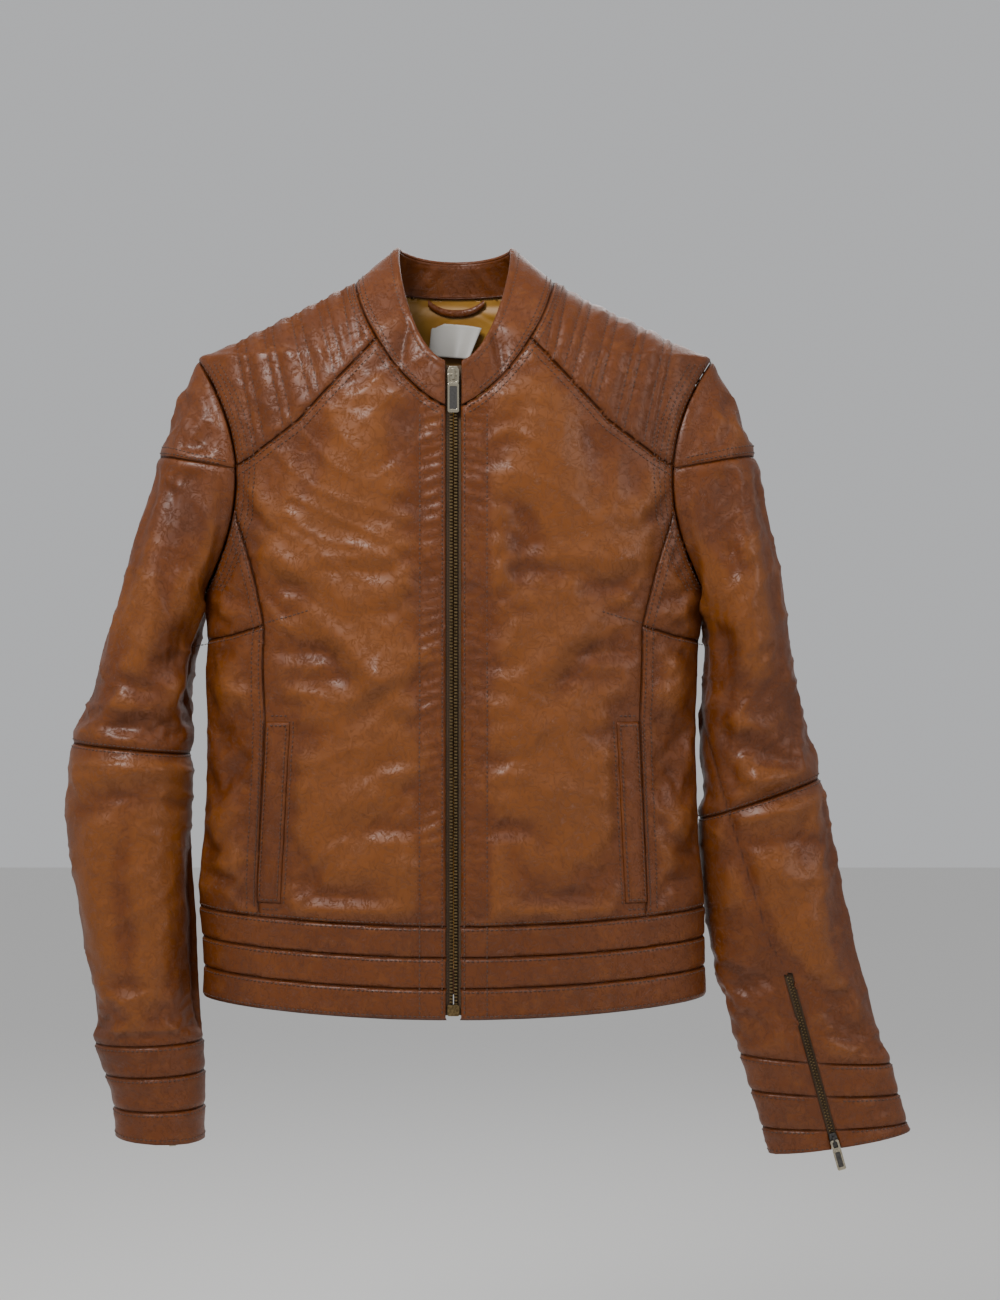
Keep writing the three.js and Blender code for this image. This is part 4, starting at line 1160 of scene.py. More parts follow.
def open_faces(side, points, faces):
    """Drops the faces in the zip slit and those with no area."""
    corners = points[faces]
    across, along, depth = slit_field(side, corners.mean(1))
    slit = (np.abs(across) < SLIT_HALF) & (along < SLIT_LENGTH) & (np.abs(depth) < SLIT_DEPTH)
    area = np.linalg.norm(np.cross(corners[:, 2] - corners[:, 0], corners[:, 3] - corners[:, 1]), axis=1)
    return faces[~slit & (area > 0.2)]


def snap_slit(side, points, reach):
    """Draws the points beside the zip slit onto its edges, without leaving the sleeve's surface."""
    _, along_axis, inward = ZIP_FRAMES[side]
    across_axis = np.cross(inward, along_axis)
    across, along, depth = slit_field(side, points)
    gap = SLIT_HALF * np.sign(across) - across
    near = (np.abs(gap) < reach) & (along < SLIT_LENGTH + 1) & (np.abs(depth) < SLIT_DEPTH)
    return points + np.where(near, gap, 0)[:, None] * across_axis


def elbow_blend(side):
    """Bodies and the two ends of a 120 mm stretch across the elbow's hinge."""
    joint = next(j for j in frame["joints"] if j["name"] == f"{side}_elbow")
    hinge, axis = Vector(joint["pos_m"]), Vector(joint["axis"])
    down = axis.cross(Vector((0, 1, 0))).normalized()
    down = down if down.z < 0 else -down
    return "jacket", f"{side}_forearm", tuple(hinge - down * 0.06), tuple(hinge + down * 0.06)


def build_sleeve(side):
    cap = partial(cap_seam_at, side)
    last = len(SLEEVES[side]) - 1
    first_cuff, second, third = CUFF_SEAMS[side]
    bend = elbow_blend(side)
    forearm = f"{side}_forearm"
    blocks = [
        ("sleeve_cap", 0, cap, "jacket"), ("upper_sleeve", cap, ELBOW_AT, bend),
        ("forearm", ELBOW_AT, first_cuff, bend), ("cuff_band_1", first_cuff, second, forearm),
        ("cuff_band_2", second, third, forearm), ("cuff_band_3", third, last, forearm),
    ]
    for name, start, end, body in blocks:
        points, normals, turn, at, faces = sleeve_block(side, CELL, start, end)
        points = snap_slit(side, points, SNAP_REACH)
        height, attributes = sleeve_relief(side, points, turn, at)
        final = points + normals * height[:, None]
        node = f"{side}_{name}"
        item = make_mesh(f"{node}_leather", final, open_faces(side, points, faces), LEATHER_LOOK, attributes)
        thicken(item, LEATHER)
        finish_piece(item, body, "leather", node)
    linings = [("upper_sleeve_lining", 0.35, ELBOW_AT), ("forearm_lining", ELBOW_AT, last - 0.45)]
    for name, start, end in linings:
        points, normals, turn, at, faces = sleeve_block(side, CELL * 1.9, start, end)
        height, _ = sleeve_relief(side, points, turn, at)
        ripple = 0.35 * noise(points, (16, 16, 40), 21)
        final = points + normals * (-LINING_DEPTH + np.minimum(height, 0) * 0.8 + ripple)[:, None]
        node = f"{side}_{name}"
        item = make_mesh(f"{node}_satin", final, open_faces(side, points, faces), SATIN_LOOK)
        thicken(item, 0.4)
        finish_piece(item, bend, "lining", node)


for sleeve_side in ("left", "right"):
    build_sleeve(sleeve_side)


# ---- Collar ------------------------------------------------------------------------------------------
COLLAR_FRONT = 6.3


def collar_surface(share, up):
    """The standing collar: share 0 at the left front, 0.5 at the back; up 0 at the seam, 1 at the top."""
    side = np.where(share < 0.5, 1.0, -1.0)
    turn = np.pi * (1 - np.abs(1 - 2 * share))
    front = turn < np.pi / 2
    sine = np.sin(turn)
    start = np.where(front, COLLAR_FRONT, COLLAR_FRONT * sine)
    seam_x = start + (NECK_HALF - COLLAR_FRONT) * sine
    top_x = start + (COLLAR_HALF - COLLAR_FRONT) * sine
    reach = np.clip(seam_x / NECK_HALF, 0, 1)
    seam_z = np.where(front, -NECK_DROP_FRONT * (1 - reach ** 1.5) ** 0.68,
                      -NECK_DROP_BACK * (1 - reach ** 2))
    seam_y = face_y(np.minimum(seam_x, NECK_HALF - 1e-3), seam_z, np.where(front, -1, 1))
    top_reach = np.clip(top_x / COLLAR_HALF, 0, 1)
    top_z = np.where(front, COLLAR_RISE - (COLLAR_RISE + COLLAR_DROP_FRONT) * (1 - top_reach ** 2.2) ** 0.7,
                     COLLAR_RISE - 6 * np.cos(turn) ** 2)
    top_y = np.where(front, -71.5 * (1 - (2 * turn / np.pi) ** 2), -COLLAR_BACK * np.cos(turn))
    seam = np.stack([side * seam_x, seam_y, seam_z + 0.4], -1)
    top = np.stack([side * top_x, top_y, top_z], -1)
    return seam + (top - seam) * up[..., None]


# Crumples of the collar: (share, centre height, slope, half width in share, depth).
COLLAR_CREASES = [
    (0.085, 0.45, 0.030, 0.012, -3.4), (0.118, 0.60, -0.020, 0.014, 2.2), (0.900, 0.50, -0.035, 0.012, -3.6),
    (0.868, 0.35, 0.020, 0.013, 2.0), (0.935, 0.60, 0.030, 0.010, 1.8), (0.30, 0.40, 0.020, 0.018, -1.6),
    (0.345, 0.50, -0.030, 0.018, 1.6), (0.66, 0.50, 0.020, 0.018, -1.5), (0.71, 0.45, 0.020, 0.020, 1.5),
    (0.44, 0.60, 0.025, 0.014, -1.1), (0.56, 0.55, -0.025, 0.014, -1.1),
]


def collar_relief(share, up, points):
    height = 0.55 * noise(points, (26, 26, 22), 41) + 0.35 * noise(points, (9, 9, 14), 42)
    for centre, middle, slope, width, depth in COLLAR_CREASES:
        away = share - centre - slope * (up - middle)
        height += depth * 1.05 * bump(away, width) * np.sin(np.pi * np.clip(up, 0, 1)) ** 0.6
    height += -0.9 * bump(up - 0.02, 0.04) - 0.55 * bump(up - 0.86, 0.035) + 0.5 * bump(up - 0.94, 0.05)
    return height * smooth(-0.02, 0.03, share) * (1 - smooth(0.97, 1.02, share))


def collar_grid(columns, ups, depth, relief_share, roll=False):
    """Grid over the collar at a depth in from its outer face; `roll` adds the rolled top edge."""
    share, up = np.meshgrid(np.linspace(0, 1, columns), ups)
    tiny = 1e-3
    grid = collar_surface(share, up)
    inner = np.clip(share, tiny, 1 - tiny)
    across = collar_surface(inner + tiny, up) - collar_surface(inner - tiny, up)
    rise = collar_surface(share, up + 0.02) - collar_surface(share, up - 0.02)
    middle = np.abs(share - 0.5) < 2 * tiny
    across = np.where(middle[..., None], [-1.0, 0.0, 0.0], across)
    normal = unit(np.cross(rise, across))
    outward = np.sign(np.sum(normal * (grid - COLLAR_CENTRE) * [1, 1, 0], axis=2, keepdims=True))
    normal *= np.where(outward == 0, 1, outward)
    flat = grid.reshape(-1, 3)
    height = collar_relief(share.reshape(-1), up.reshape(-1), flat).reshape(share.shape)
    final = grid + normal * (height * relief_share - depth)[..., None]
    if roll:
        upward = unit(rise)
        radius = 2.1
        rim = []
        for angle in np.linspace(25, 180, 7):
            turn = math.radians(angle)
            rim.append(final[-1] + upward[-1] * radius * math.sin(turn)
                       - normal[-1] * radius * (1 - math.cos(turn)))
        final = np.concatenate([final, np.array(rim)])
        height = np.concatenate([height, np.repeat(height[-1:], 7, 0)])
    return final, height


def build_collar():
    columns = int(420 / CELL) | 1
    ups = np.linspace(0, 1, int(46 / CELL))
    final, height = collar_grid(columns, ups, 0.0, 1.0, roll=True)
    rows = final.shape[0]
    up = np.concatenate([ups, np.ones(7) * 1.05])[:, None] + np.zeros(columns)
    # The material paints shade along the collar's neck seam from this distance.
    seam = np.minimum(np.abs(up) * 44, NO_SEAM)
    faces = grid_faces(rows, columns, False)
    outer = make_mesh("collar_outer_leather", final.reshape(-1, 3), faces, LEATHER_LOOK,
                      leather_fields(seam, height))
    face_outward(outer, COLLAR_CENTRE)
    thicken(outer, 1.2)
    finish_piece(outer, "jacket", "leather", "collar_outer")
    final, height = collar_grid(columns, np.linspace(0.02, 1.0, int(46 / CELL)), LINING_DEPTH, 0.8)
    up = np.linspace(0.02, 1, final.shape[0])[:, None] + np.zeros(columns)
    seam = np.abs(up - 0.02) * 44
    faces = grid_faces(final.shape[0], columns, False)
    # The inner collar's painted highlight and shade follow its relief with the height turned over.
    inner = make_mesh("collar_inner_leather", final.reshape(-1, 3), faces, LEATHER_LOOK,
                      leather_fields(seam, -height))
    face_outward(inner, COLLAR_CENTRE)
    thicken(inner, 0.9)
    finish_piece(inner, "jacket", "leather", "collar_inner")


def face_outward(item, centre):
    """Turns a piece's faces so that most of them look away from a point given in millimetres."""
    mesh = item.data
    count = len(mesh.polygons)
    normals = np.empty(count * 3)
    centres = np.empty(count * 3)
    mesh.polygons.foreach_get("normal", normals)
    mesh.polygons.foreach_get("center", centres)
    away = centres.reshape(-1, 3) - np.array(centre) * MM
    if np.sum(normals.reshape(-1, 3) * away) < 0:
        mesh.flip_normals()


build_collar()


# ---- Inside: linings, facings, pocket bags, loop and label ---------------------------------------------
INNER_NODES = ["back_lining", "back_neck_facing", "left_front_facing", "right_front_facing",
               "left_front_lining", "right_front_lining"]
NECK_FACING = [(0, -50), (50, -45), (NECK_HALF + 16, -25), (NECK_HALF + 35, 2)]
INNER_HEM = BODY_LENGTH - HEM_BAND
FACING_EDGE = 58.0


def inner_region(centres, front):
    x, z = centres[:, 0], centres[:, 2]
    reach = np.abs(x)
    right = (x < 0).astype(int)
    region = np.where(front, np.where(reach < FACING_EDGE, 2, 4) + right, 0)
    region = np.where(~front & (z > height_on(NECK_FACING, reach)) & (reach < NECK_HALF + 33), 1, region)
    angles = np.linspace(0, np.pi, 200)
    hole_x, hole_z = armhole(angles)
    limit = np.interp(z, hole_z[::-1], hole_x[::-1]) - 2
    gone = (z > -UNDERARM_DROP) & (z < -SHOULDER_DROP) & (reach > limit)
    gone |= (z > neck_line(x, front) + 2) | (front & (reach < 8)) | (z < -INNER_HEM)
    return np.where(gone, -1, region)


def build_inside():
    cell = CELL * 1.6
    grid, turn = body_grid(cell, 1.0, INNER_HEM)
    rows, columns = grid.shape[:2]
    normals = grid_normals(grid, True).reshape(-1, 3)
    front = ((turn > 0) & (turn < 0.5)).reshape(-1)
    base = grid.reshape(-1, 3)
    x = np.linspace(-NECK_HALF - 33, NECK_HALF + 33, 50)
    edge = on_body(np.stack([x, height_on(NECK_FACING, np.abs(x))], -1), 1)
    z = np.linspace(-60, -INNER_HEM, 40)
    paths = [edge] + [on_body(np.stack([sign * FACING_EDGE + 0 * z, z], -1), -1) for sign in (-1, 1)]
    turns = np.linspace(-np.pi / 2, np.pi / 2, 50)
    for is_front in (True, False):
        at = NECK_HALF * np.sin(turns)
        paths.append(on_body(np.stack([at, neck_line(at, is_front)], -1), -1 if is_front else 1))
    base = snap(base, paths, cell * 0.56)
    height, _ = body_relief(base, front)
    ripple = 0.5 * noise(base, (22, 22, 70), 51) + 0.25 * noise(base, (9, 12, 26), 52)
    faces = grid_faces(rows, columns, True)
    centres = base[faces].mean(1)
    region = inner_region(centres, centres[:, 1] < 0)
    depth = -LINING_DEPTH + 0.85 * np.minimum(height, 0) + 0.3 * np.minimum(ripple, 0.2)
    edge_distance, _ = seam_distance(base, edge)
    satin_depth = depth - 0.5 * bump(edge_distance, 5)
    # The facings' painted highlight and shade follow the body's relief, turned over and halved.
    attributes = leather_fields(np.full(len(base), NO_SEAM), -0.5 * height)
    for index, node in enumerate(INNER_NODES):
        leather = node.endswith("front_facing")
        final = settle(base + normals * (depth if leather else satin_depth)[:, None])
        look = LEATHER_LOOK if leather else SATIN_LOOK
        item = make_mesh(f"{node}_{'leather' if leather else 'satin'}", final, faces[region == index], look,
                         attributes)
        thicken(item, 0.8 if leather else 0.4)
        finish_piece(item, "jacket", "leather" if leather else "lining", node)


def tube(name, path, radius, material, sides=8):
    """A round cord along a path in millimetres."""
    path = np.asarray(path, float)
    ahead = unit(np.gradient(path, axis=0))
    up = unit(np.cross(ahead, [0.05, 1.0, 0.02]))
    side = np.cross(ahead, up)
    radius = np.broadcast_to(radius, len(path))
    ring = [path + (up * math.cos(a) + side * math.sin(a)) * radius[:, None]
            for a in np.arange(sides) * 2 * math.pi / sides]
    points = np.stack(ring, 1).reshape(-1, 3)
    item = make_mesh(name, points, grid_faces(len(path), sides, True), material)
    mesh = item.data
    last = (len(path) - 1) * sides
    caps = bmesh.new()
    caps.from_mesh(mesh)
    caps.verts.ensure_lookup_table()
    caps.faces.new([caps.verts[k] for k in range(sides)][::-1])
    caps.faces.new([caps.verts[last + k] for k in range(sides)])
    bmesh.ops.recalc_face_normals(caps, faces=caps.faces)
    caps.to_mesh(mesh)
    caps.free()
    return item


def box_node(node):
    low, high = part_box(node)
    return np.array(low) / MM, np.array(high) / MM


def build_loop():
    """Flat leather strap sewn into the neck seam at both ends and hanging in a shallow arc."""
    low, high = box_node("hanging_loop")
    across = np.linspace(-1, 1, 41)
    x = across * (high[0] - 1.5)
    z = low[2] + 3.4 + (high[2] - low[2] - 6.0) * np.abs(across) ** 2.6
    y = (low[1] + high[1]) / 2 + 0.9 * (1 - across ** 2) - 0.4
    profile = [(-3, -0.5), (-2.6, 0.6), (0, 0.8), (2.6, 0.6), (3, -0.5), (0, -0.7)]
    points = np.stack([np.stack([x, y - out, z + up], -1) for up, out in profile], 1).reshape(-1, 3)
    faces = grid_faces(len(x), len(profile), True)
    attributes = leather_fields(np.full(len(points), 3.0), np.full(len(points), 0.3))
    loop = make_mesh("hanging_loop_strap", points, faces, LEATHER_LOOK, attributes)
    finish_piece(loop, "jacket", "leather", "hanging_loop")


def build_label():
    """Blank silver-grey satin label, sewn at its left end; the free end drops and curls forward."""
    low, high = box_node("label")
    length = high[0] - low[0]
    width = 0.78 * (high[2] - low[2])
    along, down = np.meshgrid(np.linspace(0, 1, 49), np.linspace(0, 1, 21))
    tilt = -0.08 - 0.22 * smooth(0.35, 1.0, along)
    step = length / 48
    x = low[0] + np.cumsum(np.cos(tilt), axis=1) * step
    z = high[2] - 1 + np.cumsum(np.sin(tilt), axis=1) * step * 0.8
    swing = tilt * 1.3
    x = x + down * width * np.sin(swing)
    z = z - down * width * np.cos(swing)
    curl = 5.5 * smooth(0.3, 1.0, along) ** 2 + 1.2 * np.sin(6 * along) * down + 1.5 * down ** 2
    points = np.stack([x, low[1] - 0.6 - curl, z], -1)
    label = make_mesh("blank_label", points.reshape(-1, 3), grid_faces(21, 49, False), LABEL_LOOK)
    thicken(label, 0.35)
    finish_piece(label, "jacket", "label", "label")


def build_piping():
    """Leather cord piped into the seam between the collar and the lining."""
    share = np.linspace(0.27, 0.73, 60)
    path = collar_surface(share, 0 * share)
    path[:, 1] -= 5.9
    path[:, 2] -= 0.6
    piping = tube("neck_piping", path, 0.95, LEATHER_LOOK)
    finish_piece(piping, "jacket", "leather")


def build_pockets():
    for side, sign in (("left", 1), ("right", -1)):
        node = f"{side}_pocket_welt"
        rows, columns = int(WELT_LENGTH / 2) + 1, 15
        v, u = np.meshgrid(np.linspace(0, 1, rows), np.linspace(-1, 1, columns), indexing="ij")
        z = WELT_TOP - WELT_LENGTH * v
        x = sign * (welt_centre(z) + WELT_WIDTH / 2 * u * sign)
        points, normals = body_point(x.reshape(-1), z.reshape(-1), -1)
        edge = np.minimum(WELT_WIDTH * (1 - np.abs(u)), WELT_LENGTH * (1 - np.abs(2 * v - 1))).reshape(-1) / 2
        lift = 0.2 + 1.5 * smooth(0, 1.6, edge) - 0.6 * bump(edge - 3.0, 1.0)
        lift += 0.35 * noise(points, (8, 8, 17), 61)
        final = points + normals * lift[:, None]
        # The welt's seam and height fields give it painted shade along its edges and a painted highlight on
        # its raised face.
        attributes = leather_fields(np.where(edge < 0.3, 0.6, 9.0), lift - 0.8)
        welt = make_mesh(f"{node}_leather", final, grid_faces(rows, columns, False), LEATHER_LOOK, attributes)
        face_outward(welt, BODY_CENTRE)
        thicken(welt, 1.2)
        finish_piece(welt, "jacket", "leather", node)
        low, high = box_node(f"{side}_pocket_bag")
        v, u = flat_grid(36, 18)
        z = low[2] + (high[2] - low[2]) * v
        x = low[0] + (high[0] - low[0]) * u
        points, normals = body_point(x.reshape(-1), z.reshape(-1), -1)
        base = on_body(np.stack([x.reshape(-1), z.reshape(-1)], -1), -1)
        height = np.sum((points - settle(base)) * normals, axis=1)
        final = settle(base + normals * (np.minimum(height, 0.0) - 2.2)[:, None])
        bag = make_mesh(f"{side}_pocket_bag_satin", final, grid_faces(36, 18, False), SATIN_LOOK)
        face_outward(bag, BODY_CENTRE)
        thicken(bag, 0.4)
        finish_piece(bag, "jacket", "lining", f"{side}_pocket_bag")


build_inside()
build_loop()
build_label()
build_piping()
build_pockets()


# ---- Zips --------------------------------------------------------------------------------------------
def solid_prism(build, outline, low, high, bevel=0.25, hole=None):
    """Adds a bevelled plate with an (x, z) outline between two depths; a hole is an inner outline."""
    rings = [[build.verts.new((x, depth, z)) for x, z in outline] for depth in (low, high)]
    count = len(outline)
    faces = []
    for k in range(count):
        nxt = (k + 1) % count
        faces.append(build.faces.new((rings[0][k], rings[0][nxt], rings[1][nxt], rings[1][k])))
    if hole is None:
        faces.append(build.faces.new(rings[0][::-1]))
        faces.append(build.faces.new(rings[1]))
    else:
        inner = [[build.verts.new((x, depth, z)) for x, z in hole] for depth in (low, high)]
        for k in range(count):
            nxt = (k + 1) % count
            faces.append(build.faces.new((inner[0][nxt], inner[0][k], inner[1][k], inner[1][nxt])))
            faces.append(build.faces.new((rings[0][nxt], rings[0][k], inner[0][k], inner[0][nxt])))
            faces.append(build.faces.new((rings[1][k], rings[1][nxt], inner[1][nxt], inner[1][k])))
    edges = list({edge for face in faces for edge in face.edges})
    if bevel:
        bmesh.ops.bevel(build, geom=edges, offset=bevel, segments=2, affect="EDGES", profile=0.6)


def metal_piece(name, build, place, material):
    """An object from faces built in a local frame, in millimetres."""
    bmesh.ops.recalc_face_normals(build, faces=build.faces)
    mesh = bpy.data.meshes.new(name)
    build.to_mesh(mesh)
    build.free()
    mesh.transform(Matrix.Scale(MM, 4) @ place)
    mesh.materials.append(material)
    return add_object(name, mesh)


def plate(name, material, place, parts):
    """One object from several bevelled plates, in a local frame (across, inward, up) in millimetres."""
    build = bmesh.new()
    for part in parts:
        solid_prism(build, *part)
    return metal_piece(name, build, place, material)


UPRIGHT = ((1, 0, 0), (0, 1, 0), (0, 0, 1))


def local_frame(origin, across, inward, up):
    place = Matrix.Identity(4)
    for column, axis in enumerate((across, inward, up, origin)):
        for row in range(3):
            place[row][column] = float(axis[row])
    return place


def rectangle(half_x, low_z, high_z, corner=0.8):
    x, c = half_x, corner
    return [(-x + c, low_z), (x - c, low_z), (x, low_z + c), (x, high_z - c), (x - c, high_z),
            (-x + c, high_z), (-x, high_z - c), (-x, low_z + c)]


TOOTH_PITCH = 2.5


def teeth(name, place, side, length, reach, thick, start=0.0):
    """One row of stamped metal teeth: a clamp on the tape's edge and a narrower head beside the middle."""
    build = bmesh.new()
    head, neck, root = 0.4, 1.0, reach
    for z in np.arange(start + (0.6 if side > 0 else 0.6 + TOOTH_PITCH / 2), length - 0.8, TOOTH_PITCH):
        for x0, x1, half_y, half_z in ((head, neck, thick * 0.72, 0.42), (neck, root, thick, 0.62)):
            square = ((-half_y, -half_z), (half_y, -half_z), (half_y, half_z), (-half_y, half_z))
            corners = [build.verts.new((side * x, y, z + dz)) for x in (x0, x1) for y, dz in square]
            for loop in ((3, 2, 1, 0), (4, 5, 6, 7), (0, 1, 5, 4), (1, 2, 6, 5), (2, 3, 7, 6), (3, 0, 4, 7)):
                build.faces.new([corners[k] for k in loop])
    return metal_piece(name, build, place, BRASS_LOOK)


def tape(name, place, low_x, high_x, depth, low_z, high_z, behind=0.0):
    """Woven tape; where it runs under the teeth it lies `behind` further in than at its outer edge."""
    rows, columns = int((high_z - low_z) / 4), 13
    z, x = np.meshgrid(np.linspace(low_z, high_z, rows), np.linspace(low_x, high_x, columns), indexing="ij")
    ripple = 0.10 * np.sin(z / 5.0) * (np.abs(x) > 4)
    y = depth + ripple + behind * (1 - smooth(3.2, 5.0, np.abs(x)))
    points = np.stack([x, y, z], -1).reshape(-1, 3)
    item = make_mesh(name, points, grid_faces(rows, columns, False), TAPE_LOOK)
    item.data.transform(Matrix.Scale(1 / MM, 4))
    item.data.transform(place)
    item.data.transform(Matrix.Scale(MM, 4))
    thicken(item, 0.4)
    return item


def slider_parts(size, depth_low, depth_high, plate_thick):
    """Two tapered plates joined by a wedge that runs between the rows of teeth."""
    s = size
    body = [(-3.0 * s, 6.2), (3.0 * s, 6.2), (4.5 * s, 3.0), (4.6 * s, -1.5), (3.4 * s, -6.0),
            (-3.4 * s, -6.0), (-4.6 * s, -1.5), (-4.5 * s, 3.0)]
    wedge = [(-0.32, 6.0), (0.32, 6.0), (0.25, 0.0), (-0.25, 0.0)]
    inner_low, inner_high = depth_low + plate_thick, depth_high - plate_thick
    return [(body, depth_low, inner_low, 0.3), (body, inner_high, depth_high, 0.3),
            (wedge, inner_low, inner_high, 0)]


def crown_parts(half, inner, outer, foot, bar, bevel):
    """The crown that holds the pull: two feet on the slider's face and the bar across them."""
    def patch(high, low):
        return [(-half, high), (half, high), (half, low), (-half, low)]

    return [(patch(outer, inner), *foot, bevel), (patch(-inner, -outer), *foot, bevel),
            (patch(outer, -outer), *bar, bevel)]


def build_main_zip():
    low, high = box_node("left_zip_teeth")
    chain_y = (low[1] + high[1]) / 2
    top, bottom = high[2], low[2]
    place = local_frame((0, chain_y, bottom), *UPRIGHT)
    for side, sign in (("left", 1), ("right", -1)):
        row = teeth(f"{side}_zip_tooth_row", place, sign, top - bottom, 3.0, 1.25)
        finish_piece(row, "jacket", "zip_teeth", f"{side}_zip_teeth")
        strip = tape(f"{side}_zip_woven_tape", place, sign * 0.35, sign * 11.0, 0.1,
                     -8.5, top - bottom + 4, behind=1.3)
        finish_piece(strip, "jacket", "zip_tape", f"{side}_zip_tape")
    low, high = box_node("zip_retainer_box")
    place = local_frame((0, (low[1] + high[1]) / 2, low[2]), *UPRIGHT)
    tall, deep = high[2] - low[2], (high[1] - low[1]) / 2
    box = plate("zip_retainer", BRASS_LOOK, place, [
        (rectangle(4.7, 0, tall, 0.9), -deep, deep, 0.35),
        (rectangle(3.4, tall * 0.2, tall * 0.75, 0.5), -deep - 0.35, -deep + 0.2, 0.2)])
    finish_piece(box, "jacket", "slider_metal", "zip_retainer_box")
    low, high = box_node("zip_slider")
    place = local_frame((0, 0, (low[2] + high[2]) / 2), *UPRIGHT)
    face = chain_y - 3.2
    parts = slider_parts(1.0, face, chain_y + 3.0, 1.2)
    parts += crown_parts(1.1, 2.6, 4.2, (face - 2.6, face + 0.3), (low[1] + 0.05, low[1] + 0.9), 0.3)
    slider = plate("zip_slider_body", NICKEL_LOOK, place, parts)
    finish_piece(slider, "main_slider", "slider_metal", "zip_slider")
    low, high = box_node("zip_pull")
    place = local_frame((0, (low[1] + high[1]) / 2, high[2] - 1.0), *UPRIGHT)
    build_pull("zip_pull_tab", place, high[0] - 0.1, high[2] - low[2] - 1.2, "main_pull", "zip_pull")


def build_pull(name, place, half, length, body, node):
    window = rectangle(half - 1.5, -length + 2.6, -9.0, 0.6)
    eye = rectangle(half - 1.6, -5.6, -0.6, 0.6)
    rim = plate(name, NICKEL_LOOK, place, [
        (rectangle(half, -length, -6.4, 1.0), -0.55, 0.55, 0.2, window),
        (rectangle(half, -7.0, 0.9, 1.0), -0.5, 0.5, 0.2, eye)])
    finish_piece(rim, body, "slider_metal", node)
    panel = plate(f"{name}_panel", GUNMETAL_LOOK, place, [
        (rectangle(half - 1.2, -length + 2.2, -8.6, 0.4), -0.28, 0.28, 0.08)])
    finish_piece(panel, body, "slider_metal")


def build_cuff_zip(side):
    origin, up, inward = ZIP_FRAMES[side]
    up = unit(up)
    across = unit(np.cross(inward, up))
    place = local_frame(origin, across, inward, up)
    body = f"{side}_forearm"
    rows = [teeth(f"{side}_cuff_tooth_row_{k}", place, sign, SLIT_LENGTH - 2, 1.5, 0.72, 1.0)
            for k, sign in enumerate((1, -1))]
    join_into(rows[0], rows[1:])
    finish_piece(rows[0], body, "zip_teeth", f"{side}_cuff_zip_teeth")
    reach = SLIT_HALF + 1.6
    strip = tape(f"{side}_cuff_woven_tape", place, -reach, reach, 1.35, 1.0, SLIT_LENGTH + 1)
    finish_piece(strip, body, "zip_tape", f"{side}_cuff_zip_tape")
    place = local_frame(origin + 7 * up, across, inward, up)
    parts = slider_parts(0.68, -2.0, 2.0, 0.8)
    parts += crown_parts(0.8, 2.1, 3.4, (-3.6, -1.8), (-4.3, -3.7), 0.2)
    slider = plate(f"{side}_cuff_slider_body", GUNMETAL_LOOK, place, parts)
    finish_piece(slider, f"{side}_cuff_slider", "slider_metal", f"{side}_cuff_zip_slider")
    place = local_frame(origin + 7 * up - 3.3 * inward, across, inward, up)
    build_pull(f"{side}_cuff_pull_tab", place, 3.5, 24.0, f"{side}_cuff_pull", f"{side}_cuff_zip_pull")


def join_into(first, others):
    """Joins meshes that share a material into the first object."""
    build = bmesh.new()
    build.from_mesh(first.data)
    for other in others:
        build.from_mesh(other.data)
        bpy.data.objects.remove(other)
    build.to_mesh(first.data)
    build.free()


build_main_zip()
for cuff_side in ("left", "right"):
    build_cuff_zip(cuff_side)


# ---- Stitching ---------------------------------------------------------------------------------------
def offset_line(line, distance):
    """A polyline of [x, z] points moved sideways by a distance, to its left as it runs."""
    line = np.asarray(line, float)
    ahead = unit(np.gradient(line, axis=0))
    return line + np.stack([-ahead[:, 1], ahead[:, 0]], -1) * distance


def both_halves(x, z, side, lift=STITCH_LIFT):
    """A stitch row on the body through x, z, and its mirror image."""
    return [body_point(sign * x, z, side, lift) for sign in (1, -1)]


def body_row(line, side, distance=0.0):
    """A stitch row on the body beside an [x, z] line given in positive x; one for each half."""
    path = inside_body(offset_line(dense(line, 4.0), distance), side < 0)
    return both_halves(path[:, 0], path[:, 1], side) if len(path) > 2 else []


def ring_row(drop):
    """Rows round the body parallel to the hem, front and back."""
    rows = []
    for side, low in ((-1, OPENING_HALF + 2.5), (1, 0.0)):
        x = np.linspace(low, float(half_width(drop)) - 2, 60)
        rows += both_halves(x, hem_line(x, drop), side)
    return rows


